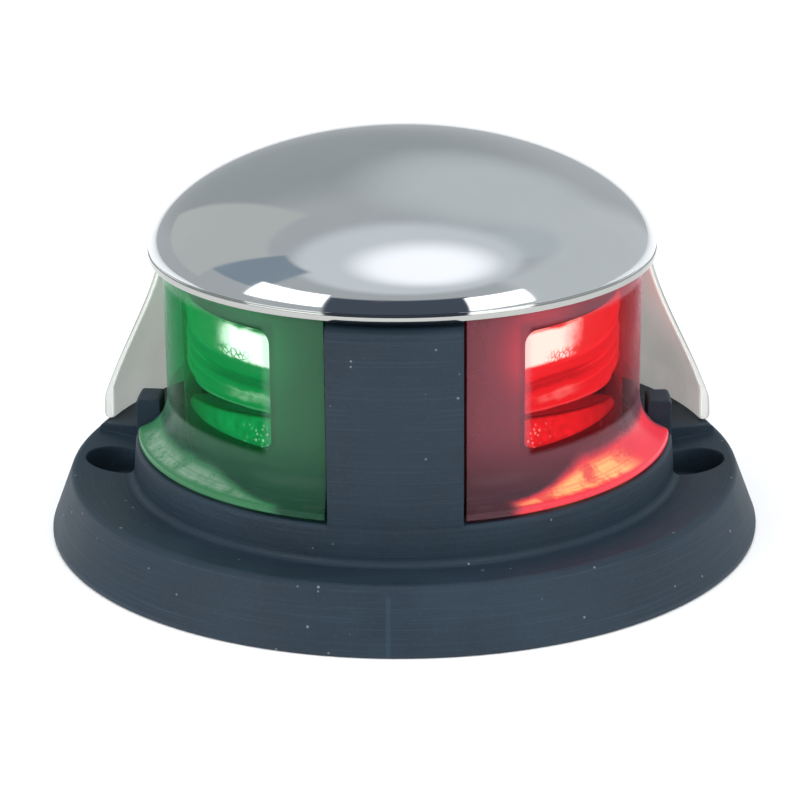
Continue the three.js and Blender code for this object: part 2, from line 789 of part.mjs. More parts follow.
// ---- hood and its fixings -----------------------------------------------------------------------

// The dome is a rounded cone: both the radius and the height follow a power of a quarter turn.
function domeArc(radius, height, steps, stopRadius = 0) {
  const points = [];
  for (let step = 0; step <= steps; step += 1) {
    const turn = (step / steps) * (Math.PI / 2);
    const r = radius * Math.cos(turn) ** domeFullness;
    const z = domeShoulder + (height - domeShoulder) * Math.sin(turn) ** domeFullness;
    if (r >= stopRadius) {
      points.push(new THREE.Vector2(Math.max(r, 0), z));
    }
  }
  points.at(-1).x = stopRadius;
  return points;
}

function domeShell() {
  const outer = domeArc(domeRadius, domeTop, 11);
  const inner = domeArc(domeRadius - hoodWall, domeTop - hoodWall, 7).filter((p) => p.x < ledgeInner);
  const lip = [
    new THREE.Vector2(ledgeInner, inner[0].y - 1),
    new THREE.Vector2(ledgeInner, hoodLedge),
    new THREE.Vector2(lipInner, hoodLedge),
    new THREE.Vector2(lipInner, rimBottom),
    new THREE.Vector2(rimRadius, rimBottom),
  ];
  return turned([...inner.reverse(), ...lip, ...outer], shellSegments);
}

// The skirt leaves the dome just above the rim, flares like a bell and ends in a thicker upright hem.
function skirtShell() {
  const bottom = platformTop + gap;
  const innerHem = skirtRadius - hemThickness;
  const [upperRadius, upperHeight] = bellUpper;
  const [lowerRadius, lowerHeight] = bellLower;
  const outline = path(rimRadius - 0.4, hoodLedge)
    .quadraticCurveTo(neckRadius - 0.2, hoodLedge - 0.6, neckRadius, neckHeight)
    .bezierCurveTo(upperRadius, upperHeight, lowerRadius, lowerHeight, skirtRadius - 0.2, hemTop)
    .lineTo(skirtRadius, bottom)
    .lineTo(innerHem, bottom)
    .lineTo(innerHem - 0.1, hemTop + 1)
    .bezierCurveTo(
      lowerRadius - skirtWall,
      lowerHeight,
      upperRadius - skirtWall,
      upperHeight,
      neckRadius - skirtWall,
      neckHeight,
    )
    .lineTo(lipInner + 0.1, neckHeight + 1)
    .lineTo(rimRadius - 0.4, hoodLedge);
  return turned(outline.getPoints(7), shellSegments).intersect(slice(skirtAzimuth, 360 - skirtAzimuth));
}

const centralBossRadius = 5;
const insertRadius = 3.4;
const insertBottom = 36.4;
const insertTop = 41.4;
const skirtBossRadius = 2.4;
const skirtBossTop = 12.8;
const hoodGasketInner = 22.4;
const hoodGasketOuter = 27.3;
const hoodBoltLength = 34.8;
const skirtHeadHeight = 1.8;
const skirtScrewLength = 8;

function makeHood() {
  let body = domeShell().add(skirtShell());
  body = body.add(rod(centralBossRadius, housingTop + gap, domeTop - hoodWall + 0.3));
  body = body.subtract(rod(insertRadius + gap, 0, insertTop + gap, 0, 0));
  for (const sign of [1, -1]) {
    const [x, y] = polar(skirtScrewRadius, sign * skirtScrewAzimuth);
    body = body.add(rod(skirtBossRadius, platformTop + gap, skirtBossTop, x, y));
    body = body.subtract(rod(skirtScrewBore, 0, skirtBossTop - 0.8, x, y, 12));
  }
  return piece('hood', body, 'chrome');
}

function makeHoodGasket() {
  const body = tube(hoodGasketInner, hoodGasketOuter, housingTop + gap, hoodLedge - gap, 60);
  return piece('hood_gasket', body, 'blackRubber');
}

function makeHoodInsert() {
  return piece('hood_insert', tube(boltBore, insertRadius, insertBottom, insertTop, 24), 'brass');
}

function makeHoodBolt() {
  const bolt = screwBody(boltHeadRadius, boltHeadHeight, boltBore - gap, hoodBoltLength, 20);
  return piece('hood_bolt', bolt.translate([0, 0, boltHeadBottom]), 'stainless');
}

function makeSkirtScrews() {
  const screw = screwBody(skirtHeadRadius, skirtHeadHeight, skirtScrewBore - gap, skirtScrewLength);
  const bottom = skirtHeadSeat - skirtHeadHeight - gap;
  return sides.map((side) => {
    const [x, y] = polar(skirtScrewRadius, side.sign * skirtScrewAzimuth);
    return piece(`skirt_screw_${side.name}`, screw.translate([x, y, bottom]), 'stainless');
  });
}

// ---- assembly -----------------------------------------------------------------------------------

const group = new THREE.Group();
group.name = 'navigation_light';

group.add(makeBase(), makeDeckGasket());
group.add(makeBottomCover(), makeCoverORing(), makeCableGrommet(), ...makeCoverScrews());
group.add(makeDriverBoard(), ...makeDriverScrews());
group.add(makeCapacitor(), makeInductor(), makeDriverChip(), makeTerminalBlock());
group.add(makeThermalPad(), makeHeatSink(), makeBaffle(), makeHousing());
for (const side of sides) {
  group.add(makeLedBoard(side), makeLed(side), ...makeLedScrews(side), makeLead(side));
  group.add(makeOptic(side), makeTray(side), makeLens(side), makeLensSeal(side));
}
group.add(makeHood(), makeHoodGasket(), makeHoodInsert(), makeHoodBolt(), ...makeSkirtScrews());

export default group;
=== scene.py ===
import json
import math

import bmesh
import bpy
from mathutils import Matrix, Vector


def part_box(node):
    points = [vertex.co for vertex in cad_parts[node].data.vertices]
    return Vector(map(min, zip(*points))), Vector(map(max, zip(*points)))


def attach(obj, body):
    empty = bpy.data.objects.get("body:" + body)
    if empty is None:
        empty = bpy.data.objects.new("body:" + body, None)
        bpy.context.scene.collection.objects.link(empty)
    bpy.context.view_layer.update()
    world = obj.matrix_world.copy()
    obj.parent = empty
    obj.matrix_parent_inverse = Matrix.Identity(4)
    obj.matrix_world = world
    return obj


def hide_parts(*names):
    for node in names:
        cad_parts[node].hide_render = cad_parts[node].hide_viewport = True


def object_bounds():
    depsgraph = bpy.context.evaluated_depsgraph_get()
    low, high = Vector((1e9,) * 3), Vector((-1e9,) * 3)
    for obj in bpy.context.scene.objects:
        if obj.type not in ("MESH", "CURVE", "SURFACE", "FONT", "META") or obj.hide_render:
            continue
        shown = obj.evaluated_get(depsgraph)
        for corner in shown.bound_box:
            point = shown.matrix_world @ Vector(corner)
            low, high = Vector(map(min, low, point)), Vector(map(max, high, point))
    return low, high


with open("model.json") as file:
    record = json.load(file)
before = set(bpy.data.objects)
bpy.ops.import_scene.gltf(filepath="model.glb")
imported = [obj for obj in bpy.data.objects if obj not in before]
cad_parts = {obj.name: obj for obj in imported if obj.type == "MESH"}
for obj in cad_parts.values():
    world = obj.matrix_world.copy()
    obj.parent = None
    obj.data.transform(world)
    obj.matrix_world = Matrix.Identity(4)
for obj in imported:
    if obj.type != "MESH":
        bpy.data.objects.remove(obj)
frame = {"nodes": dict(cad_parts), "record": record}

# Bicolour navigation light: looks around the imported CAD. Outlines are drawn in millimetres as
# (radius, height) round the Z axis. Azimuths are degrees from the front (-Y), positive towards port (+X).

CAD_BOX = [[float(v) for v in corner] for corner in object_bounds()]
MM = 0.001
SIDES = {"port": 1, "starboard": -1}


# ---- camera ------------------------------------------------------------------------------------

CAMERA_ELEVATION = 21.82
CAMERA_AZIMUTH = 1.8
CAMERA_DISTANCE = 0.3094
CAMERA_LENS = 117.42
CAMERA_ROLL = -0.49
AIM = Vector((-0.0004, 0.0, 0.01400))


def make_camera():
    elevation, azimuth = math.radians(CAMERA_ELEVATION), math.radians(CAMERA_AZIMUTH)
    flat = math.cos(elevation)
    direction = Vector((math.sin(azimuth) * flat, -math.cos(azimuth) * flat, math.sin(elevation)))
    eye = direction * CAMERA_DISTANCE
    data = bpy.data.cameras.new("camera")
    data.lens = CAMERA_LENS
    data.sensor_width = 36
    data.clip_start = 0.01
    camera = bpy.data.objects.new("camera", data)
    bpy.context.scene.collection.objects.link(camera)
    turn = (AIM - eye).to_track_quat("-Z", "Y").to_matrix()
    turn = turn @ Matrix.Rotation(math.radians(CAMERA_ROLL), 3, "Z")
    camera.matrix_world = Matrix.Translation(eye) @ turn.to_4x4()
    bpy.context.scene.camera = camera


make_camera()


# ---- mesh helpers ------------------------------------------------------------------------------

COLUMNS = 200


def rounded(corners, steps=5):
    """Closed outline through (radius, height, fillet) corners, each corner cut by an arc."""
    outline = []
    for i, corner in enumerate(corners):
        here = Vector(corner[:2])
        fillet = corner[2] if len(corner) > 2 else 0
        before = Vector(corners[i - 1][:2]) - here
        after = Vector(corners[(i + 1) % len(corners)][:2]) - here
        if not fillet or before.length < 1e-6 or after.length < 1e-6:
            outline.append(tuple(here))
            continue
        half = before.angle(after) / 2
        if half > math.pi / 2 - 0.01:
            outline.append(tuple(here))
            continue
        setback = min(fillet / math.tan(half), before.length * 0.49, after.length * 0.49)
        fillet = setback * math.tan(half)
        middle = (before.normalized() + after.normalized()).normalized()
        centre = here + middle * (fillet / math.sin(half))
        first = here + before.normalized() * setback - centre
        last = here + after.normalized() * setback - centre
        sweep = first.angle_signed(last)
        for step in range(steps + 1):
            turn = Matrix.Rotation(-sweep * step / steps, 2)
            outline.append(tuple(centre + turn @ first))
    return outline


def bezier(p0, p1, p2, p3, steps):
    points = []
    for step in range(steps + 1):
        t = step / steps
        u = 1 - t
        points.append(tuple(u * u * u * Vector(p0) + 3 * u * u * t * Vector(p1)
                            + 3 * u * t * t * Vector(p2) + t * t * t * Vector(p3)))
    return points


def polar(radius, azimuth, height):
    angle = math.radians(azimuth)
    return Vector((radius * math.sin(angle), -radius * math.cos(angle), height))


def loft(loops, closed=False):
    """Closed mesh through equal loops of points, with an end face on the first and last."""
    bm = bmesh.new()
    rows = [[bm.verts.new(point) for point in loop] for loop in loops]
    count = len(rows[0])
    pairs = list(zip(rows, rows[1:]))
    if closed:
        pairs.append((rows[-1], rows[0]))
    for near, far in pairs:
        for i in range(count):
            k = (i + 1) % count
            bm.faces.new((near[i], near[k], far[k], far[i]))
    if not closed:
        bm.faces.new(rows[0])
        bm.faces.new(list(reversed(rows[-1])))
    return to_mesh(bm)


def to_mesh(bm):
    bmesh.ops.remove_doubles(bm, verts=bm.verts, dist=1e-5)
    bmesh.ops.dissolve_degenerate(bm, edges=bm.edges, dist=1e-6)
    bmesh.ops.recalc_face_normals(bm, faces=bm.faces)
    mesh = bpy.data.meshes.new("work")
    bm.to_mesh(mesh)
    bm.free()
    return mesh


def turned(outline, start=0.0, end=360.0, centre=(0.0, 0.0), columns=COLUMNS):
    """Closed outline of (radius, height) turned round an upright axis, all round or between azimuths."""
    whole = end - start >= 360
    count = columns if whole else max(3, round(columns * (end - start) / 360))
    shift = Vector((centre[0], centre[1], 0))
    loops = []
    for column in range(count if whole else count + 1):
        azimuth = start + (end - start) * column / count
        loops.append([polar(r, azimuth, z) + shift for r, z in outline])
    return lathe(loops) if whole else loft(loops)


def lathe(loops):
    """A full turn. Points on the axis are shared, and a face that lies along the axis is left out."""
    bm = bmesh.new()
    on_axis = {}
    rows = []
    middle = sum((loop[0] for loop in loops), Vector()) / len(loops)
    for loop in loops:
        row = []
        for i, point in enumerate(loop):
            if (point.xy - middle.xy).length < 1e-6:
                if i not in on_axis:
                    on_axis[i] = bm.verts.new(point)
                row.append(on_axis[i])
            else:
                row.append(bm.verts.new(point))
        rows.append(row)
    count = len(rows[0])
    for near, far in zip(rows, rows[1:] + rows[:1]):
        for i in range(count):
            k = (i + 1) % count
            corners = []
            for vert in (near[i], near[k], far[k], far[i]):
                if vert not in corners:
                    corners.append(vert)
            if len(corners) > 2:
                bm.faces.new(corners)
    return to_mesh(bm)


def rod(radius, bottom, top, centre=(0.0, 0.0), columns=40):
    return turned([(0, bottom), (radius, bottom), (radius, top), (0, top)], centre=centre, columns=columns)


def block(low, high):
    loops = []
    for z in (low[2], high[2]):
        loops.append([Vector((low[0], low[1], z)), Vector((high[0], low[1], z)),
                      Vector((high[0], high[1], z)), Vector((low[0], high[1], z))])
    return loft(loops)


def carve(mesh, operation, *tools):
    """Boolean of closed meshes: UNION, DIFFERENCE or INTERSECT, one tool after another."""
    scene = bpy.context.scene
    holders = [bpy.data.objects.new("work", m) for m in (mesh, *tools)]
    for holder in holders:
        scene.collection.objects.link(holder)
    for tool in holders[1:]:
        modifier = holders[0].modifiers.new("carve", "BOOLEAN")
        modifier.solver = "MANIFOLD"
        modifier.operation = operation
        modifier.object = tool
    graph = bpy.context.evaluated_depsgraph_get()
    result = bpy.data.meshes.new_from_object(holders[0].evaluated_get(graph))
    for holder in holders:
        bpy.data.objects.remove(holder)
    return result


def mirrored(mesh):
    copy = mesh.copy()
    copy.transform(Matrix.Scale(-1, 4, (1, 0, 0)))
    copy.flip_normals()
    return copy


def piece(name, mesh, material, slot, *nodes, crease=32):
    """Puts a mesh drawn in millimetres on the object, in place of CAD nodes."""
    mesh = mesh.copy()
    mesh.transform(Matrix.Scale(MM, 4))
    mesh.materials.clear()
    mesh.materials.append(material)
    mesh.polygons.foreach_set("material_index", [0] * len(mesh.polygons))
    mesh.shade_smooth()
    mesh.set_sharp_from_angle(angle=math.radians(crease))
    mesh.name = name
    obj = bpy.data.objects.new(name, mesh)
    bpy.context.scene.collection.objects.link(obj)
    weighted = obj.modifiers.new("weighted_normals", "WEIGHTED_NORMAL")
    weighted.keep_sharp = True
    weighted.mode = "FACE_AREA_WITH_ANGLE"
    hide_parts(*nodes)
    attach(obj, "root")
    return obj


# ---- material helpers --------------------------------------------------------------------------


class Graph:
    """Builds one node material. A call's keywords are input names, with spaces as underscores."""

    def __init__(self, name):
        self.material = bpy.data.materials.new(name)
        self.start(self.material)
        self.output = self.node("ShaderNodeOutputMaterial")
        self.here = self.node("ShaderNodeTexCoord").outputs["Object"]

    def start(self, owner):
        owner.use_nodes = True
        self.tree = owner.node_tree
        self.tree.nodes.clear()

    def node(self, kind, settings=(), **inputs):
        made = self.tree.nodes.new(kind)
        for key, value in dict(settings).items():
            setattr(made, key, value)
        for key, value in inputs.items():
            name = key.replace("_", " ")
            self.put(made.inputs[int(key[1:]) if key[1:].isdigit() and key[0] == "i" else name], value)
        return made

    def put(self, socket, value):
        if isinstance(value, bpy.types.NodeSocket):
            self.tree.links.new(value, socket)
        elif isinstance(value, bpy.types.Node):
            self.tree.links.new(value.outputs[0], socket)
        else:
            socket.default_value = value

    def math(self, operation, a, b=0.0, clamp=False):
        made = self.node("ShaderNodeMath", {"operation": operation, "use_clamp": clamp}, i0=a, i1=b)
        return made.outputs[0]

    def plus(self, a, b, clamp=False):
        return self.math("ADD", a, b, clamp)

    def minus(self, a, b):
        return self.math("SUBTRACT", a, b)

    def times(self, a, b):
        return self.math("MULTIPLY", a, b)

    def vector(self, operation, a, b):
        return self.node("ShaderNodeVectorMath", {"operation": operation}, i0=a, i1=b).outputs[0]

    def dot(self, a, b):
        return self.node("ShaderNodeVectorMath", {"operation": "DOT_PRODUCT"}, i0=a, i1=b).outputs["Value"]

    def scaled(self, vector, factor):
        return self.node("ShaderNodeVectorMath", {"operation": "SCALE"}, i0=vector, Scale=factor).outputs[0]

    def facing(self, blend, power):
        """0 where a surface faces the viewer, rising to 1 at its limb."""
        limb = self.node("ShaderNodeLayerWeight", Blend=blend).outputs["Facing"]
        return self.math("POWER", limb, power)

    def span(self, value, low, high, to_low=0.0, to_high=1.0):
        """Smooth step from low to high."""
        made = self.node("ShaderNodeMapRange", {"interpolation_type": "SMOOTHSTEP"}, Value=value,
                         From_Min=low, From_Max=high, To_Min=to_low, To_Max=to_high)
        return made.outputs[0]

    def band(self, value, low, high, soft):
        """1 between low and high, falling to 0 over soft."""
        rise = self.span(value, low - soft, low)
        fall = self.span(value, high, high + soft, 1.0, 0.0)
        return self.times(rise, fall)

    def noise(self, scale, detail=3.0, roughness=0.5, stretch=None):
        where = self.here
        if stretch:
            mapping = self.node("ShaderNodeMapping", {"vector_type": "POINT"}, Vector=where, Scale=stretch)
            where = mapping.outputs[0]
        made = self.node("ShaderNodeTexNoise", Vector=where, Scale=scale, Detail=detail, Roughness=roughness)
        return made.outputs["Fac"]

    def cells(self, feature, scale):
        return self.node("ShaderNodeTexVoronoi", {"feature": feature}, Vector=self.here, Scale=scale)

    def mix(self, factor, a, b):
        made = self.node("ShaderNodeMix", {"data_type": "RGBA"})
        self.put(made.inputs[0], factor)
        self.put(made.inputs[6], a)
        self.put(made.inputs[7], b)
        return made.outputs[2]

    def bump(self, height, distance_mm, strength=1.0, normal=None):
        made = self.node("ShaderNodeBump", Height=height, Distance=distance_mm * MM, Strength=strength)
        if normal is not None:
            self.put(made.inputs["Normal"], normal)
        return made.outputs[0]

    def around(self):
        """Radius in mm, azimuth from the front in degrees either way, and height in mm."""
        x, y, z = self.xyz()
        radius = self.math("SQRT", self.plus(self.times(x, x), self.times(y, y)))
        azimuth = self.math("ARCTAN2", self.math("ABSOLUTE", x), self.times(y, -1.0))
        return radius, self.math("DEGREES", azimuth), z

    def xyz(self):
        """The point's place in mm."""
        return self.node("ShaderNodeSeparateXYZ", Vector=self.scaled(self.here, 1 / MM)).outputs

    def principled(self, glow=None, **inputs):
        shader = self.node("ShaderNodeBsdfPrincipled", **inputs)
        if glow is not None:
            self.put(shader.inputs["Emission Color"], glow)
            shader.inputs["Emission Strength"].default_value = 1.0
        return shader

    def done(self, shader):
        self.put(self.output.inputs["Surface"], shader)
        return self.material


def grey(value):
    return (value, value, value, 1.0)


def shade(colour, factor):
    return (*[min(1.0, c * factor) for c in colour[:3]], 1.0)


# ---- materials ---------------------------------------------------------------------------------

# The underside of each optic and the top of each tray lie in planes that rise towards the front.
UNDERSIDE_HEIGHT = 17.65
UNDERSIDE_SLOPE = 0.095
TRAY_HEIGHT = 15.75
TRAY_SLOPE = 0.168
RIM_LIP_TOP = 33.3
SKIRT_INNER_RADIUS = 28.2
LED_AZIMUTH = 36.0
LED_HEIGHT = 27.5
WHITE = (1.0, 1.0, 1.0)


def tool_lines(graph, fine=1.0):
    """Fine lines that run round the Z axis, from a noise stretched along the azimuth."""
    radius, azimuth, height = graph.around()
    across = 6.0 * fine
    where = graph.node("ShaderNodeCombineXYZ", X=graph.times(radius, across), Y=graph.times(azimuth, 0.035),
                       Z=graph.times(height, across))
    made = graph.node("ShaderNodeTexNoise", Vector=where, Scale=1.0, Detail=3.0, Roughness=0.65)
    return made.outputs["Fac"]


def specks(graph, scale, rarity, size):
    """Round flecks in the few cells whose random colour is above the rarity."""
    cells = graph.cells("F1", scale)
    drawn = graph.node("ShaderNodeSeparateColor", Color=cells.outputs["Color"]).outputs[0]
    return graph.times(graph.span(cells.outputs["Distance"], size, size / 2),
                       graph.span(drawn, rarity, rarity + 0.04))


def parting_line(graph, top):
    """The mould's parting line: a fine upright witness at the front, from the bottom up to a height."""
    x, y, z = graph.xyz()
    across = graph.math("ABSOLUTE", graph.plus(x, 0.5))
    line = graph.times(graph.span(across, 0.35, 0.12), graph.span(y, 0.0, -1.0))
    return graph.times(line, graph.span(z, top + 0.4, top))


def rubbed_and_highlit_edges(graph, bevelled, cloud):
    """1 on convex edges, where a bevelled normal turns away from the flat one, in patches: part rubbed wear,
    part painted edge highlight.
    """
    flat = graph.node("ShaderNodeNewGeometry").outputs["Normal"]
    return graph.times(graph.span(graph.dot(bevelled, flat), 0.995, 0.9), graph.span(cloud, 0.35, 0.7))


def moulded_plastic(name, colour, roughness=0.42, lines=0.5, grain=0.5, dust=0.4, parting=0.0):
    """Moulded and trimmed plastic: pebble grain, fine tool lines, pale dust specks, and convex edges
    lightened in patches, part scuffing and part painted edge highlight.
    """
    graph = Graph(name)
    streaks = tool_lines(graph)
    pebble = graph.noise(2600.0, 2.0, 0.6)
    cloud = graph.noise(70.0, 4.0, 0.6)
    soft = graph.node("ShaderNodeBevel", {"samples": 4}, Radius=0.35 * MM).outputs[0]
    fleck = graph.plus(specks(graph, 430.0, 0.86, 0.10), specks(graph, 900.0, 0.93, 0.16), clamp=True)
    tone = graph.mix(graph.span(cloud, 0.3, 0.72), shade(colour, 0.85), shade(colour, 1.18))
    # Lighter grain, tool lines and edges. The edge lightening is part scuffing, part painted edge highlight.
    for mask, strength, lighter in ((graph.span(pebble, 0.5, 0.75), 0.5 * grain, 1.9),
                                    (graph.span(streaks, 0.5, 0.8), 0.6 * lines, 2.2),
                                    (rubbed_and_highlit_edges(graph, soft, cloud), 0.5, 2.4)):
        tone = graph.mix(graph.times(mask, strength), tone, shade(colour, lighter))
    tone = graph.mix(graph.times(fleck, dust), tone, (0.30, 0.33, 0.35, 1.0))
    rough = graph.plus(graph.span(cloud, 0.25, 0.8, roughness - 0.06, roughness + 0.08),
                       graph.times(pebble, 0.08))
    normal = graph.bump(streaks, 0.05 * lines, 0.9, soft)
    normal = graph.bump(pebble, 0.03 * grain, 0.9, normal)
    if parting:
        line = parting_line(graph, parting)
        tone = graph.mix(graph.times(line, 0.22), tone, shade(colour, 2.6))
        normal = graph.bump(line, 0.05, 0.8, normal)
    return graph.done(graph.principled(Base_Color=tone, Roughness=rough, Normal=normal, IOR=1.5,
                                       Specular_IOR_Level=0.3))


def bright_plate(graph, height):
    """Polished chrome with a little haze, ripple and pitting. The rim's lip is duller."""
    ripple = graph.noise(55.0, 2.0, 0.4)
    haze = graph.noise(210.0, 4.0, 0.6)
    polish = graph.noise(900.0, 2.0, 0.5, stretch=(1.0, 1.0, 4.0))
    pit = specks(graph, 260.0, 0.93, 0.05)
    tone = graph.mix(haze, (0.71, 0.735, 0.75, 1.0), (0.76, 0.785, 0.80, 1.0))
    tone = graph.mix(graph.times(pit, 0.5), tone, (0.25, 0.26, 0.27, 1.0))
    tone = graph.mix(graph.span(height, RIM_LIP_TOP + 0.15, RIM_LIP_TOP), tone, (0.46, 0.465, 0.445, 1.0))
    rough = graph.plus(graph.span(haze, 0.35, 0.75, 0.035, 0.10), graph.times(pit, 0.3))
    normal = graph.bump(polish, 0.0006, 0.5, graph.bump(ripple, 0.012, 0.5))
    return graph.principled(Base_Color=tone, Metallic=1.0, Roughness=rough, Normal=normal)


def glowing_satin_plate(graph):
    """The skirt's inner face: flat satin grey, kept light by a faint emission, which is a painted glow."""
    smudge = graph.noise(90.0, 5.0, 0.65, stretch=(1.0, 1.0, 0.5))
    grain = graph.noise(1600.0, 2.0, 0.6)
    tone = graph.mix(graph.span(smudge, 0.3, 0.7), (0.66, 0.675, 0.65, 1.0), (0.82, 0.835, 0.81, 1.0))
    # The emission is a painted glow that keeps the face light grey.
    return graph.principled(Base_Color=tone, Metallic=0.1, Roughness=graph.span(smudge, 0.3, 0.7, 0.34, 0.48),
                            Normal=graph.bump(grain, 0.008, 0.6),
                            glow=graph.mix(smudge, (0.18, 0.185, 0.176, 1.0), (0.36, 0.365, 0.35, 1.0)))


def chrome_plate():
    """Bright chrome outside. A face that looks towards the axis, out at the skirt, is satin with a faint
    painted glow.
    """
    graph = Graph("chrome_plate")
    radius, _, height = graph.around()
    level = graph.vector("MULTIPLY", graph.here, (1.0, 1.0, 0.0))
    outward = graph.node("ShaderNodeVectorMath", {"operation": "NORMALIZE"}, i0=level)
    away = graph.dot(outward, graph.node("ShaderNodeTexCoord").outputs["Normal"])
    inside = graph.times(graph.span(away, 0.05, -0.05),
                         graph.span(radius, SKIRT_INNER_RADIUS, SKIRT_INNER_RADIUS + 0.4))
    return graph.done(graph.node("ShaderNodeMixShader", i0=inside, i1=bright_plate(graph, height),
                                 i2=glowing_satin_plate(graph)))


def foot_glow(graph, ragged, streaks, inner_radii, middle_rear):
    """Masks of the light in a lens foot: the whole crescent, which widens inwards towards the rear, and
    its streaky middle."""
    radius, azimuth, height = graph.around()
    inner = graph.span(azimuth, 24.0, 48.0, *inner_radii)
    inner = graph.plus(inner, graph.times(graph.minus(ragged, 0.5), 0.5))
    past = graph.minus(radius, inner)
    foot = graph.times(graph.span(past, -0.15, 0.5), graph.span(height, 15.6, 14.0))
    foot = graph.times(foot, graph.band(azimuth, 27.0, 83.0, 4.0))
    middle = graph.times(graph.span(past, 0.25, 1.0), graph.span(radius, 30.75, 30.1))
    middle = graph.times(middle, graph.band(azimuth, 32.0, middle_rear, 12.0))
    middle = graph.times(middle, graph.span(ragged, 0.36, 0.6, 0.15, 1.0))
    middle = graph.times(middle, graph.span(streaks, 0.36, 0.56, 0.6, 1.0))
    return foot, middle


def corner_halo(graph):
    """1 round the window's bright corner, falling away over 8.5 mm of lens."""
    _, azimuth, height = graph.around()
    across = graph.times(graph.minus(azimuth, LED_AZIMUTH), 0.48)
    up = graph.minus(height, LED_HEIGHT)
    spread = graph.math("SQRT", graph.plus(graph.times(across, across), graph.times(up, up)))
    return graph.math("POWER", graph.span(spread, 8.5, 1.5), 1.5)


def coloured_lens(name, film, body, low_body, rim, core, glow_inner, middle_rear):
    """Tinted clear plastic: what lies behind shows through the film colour, and the moulding's own body
    colour
    lightens it. The body colour is darker towards the bottom. Light piped from the LED is painted on as a
    glow:
    it spreads along the foot, edged in the rim colour with the core colour between, and glows round the
    window's bright corner. The glow's inner radii are its front and rear ones, and its middle ends at the
    middle_rear azimuth."""
    graph = Graph(name)
    _, azimuth, height = graph.around()
    cloud = graph.noise(120.0, 4.0, 0.6)
    mottle = graph.noise(700.0, 3.0, 0.6)
    ragged = graph.noise(330.0, 4.0, 0.7)
    streaks = tool_lines(graph, 0.7)
    foot, middle = foot_glow(graph, ragged, streaks, glow_inner, middle_rear)
    tone = graph.mix(graph.span(height, 20.0, 12.4), (*body, 1.0), (*low_body, 1.0))
    tone = graph.mix(graph.times(graph.span(cloud, 0.3, 0.7), 0.3), tone, shade(body, 0.5))
    scuffs = graph.times(graph.span(streaks, 0.56, 0.72), graph.span(height, 16.6, 12.6, 0.12, 0.8))
    scuffs = graph.times(scuffs, graph.span(ragged, 0.45, 0.7))
    tone = graph.mix(scuffs, tone, grey(0.34))
    # Painted glow: LED light along the foot and round the window's bright corner.
    tone = graph.mix(graph.times(foot, 0.8), tone, shade(rim, 0.3))
    glow = graph.mix(foot, grey(0.0), (*rim, 1.0))
    glow = graph.mix(graph.times(foot, middle), glow, (*core, 1.0))
    glow = graph.mix(graph.times(corner_halo(graph), 0.8), glow, (*rim, 1.0))
    normal = graph.bump(mottle, 0.006, 0.5, graph.bump(streaks, 0.01, 0.6))
    shell = graph.principled(Base_Color=tone, Roughness=graph.span(cloud, 0.3, 0.75, 0.2, 0.34),
                             Normal=normal, IOR=1.5, Specular_IOR_Level=0.3, glow=glow)
    clear = graph.node("ShaderNodeBsdfTransparent", Color=(*film, 1.0))
    window = graph.times(graph.span(azimuth, 30.4, 32.4), graph.band(height, 16.4, 29.9, 0.8))
    share = graph.span(cloud, 0.2, 0.8, 0.30, 0.37)
    share = graph.times(share, graph.minus(1.0, graph.times(window, 0.92)))
    share = graph.plus(graph.times(foot, 0.55), share)
    share = graph.plus(graph.times(graph.facing(0.5, 6.0), 0.9), share, clamp=True)
    return graph.done(graph.node("ShaderNodeMixShader", i0=share, i1=clear, i2=shell))


def below_plane(graph, height, slope):
    """How far in mm a point lies below a plane that rises towards the front."""
    _, y, z = graph.xyz()
    return graph.minus(graph.plus(graph.times(y, -slope), height), z)


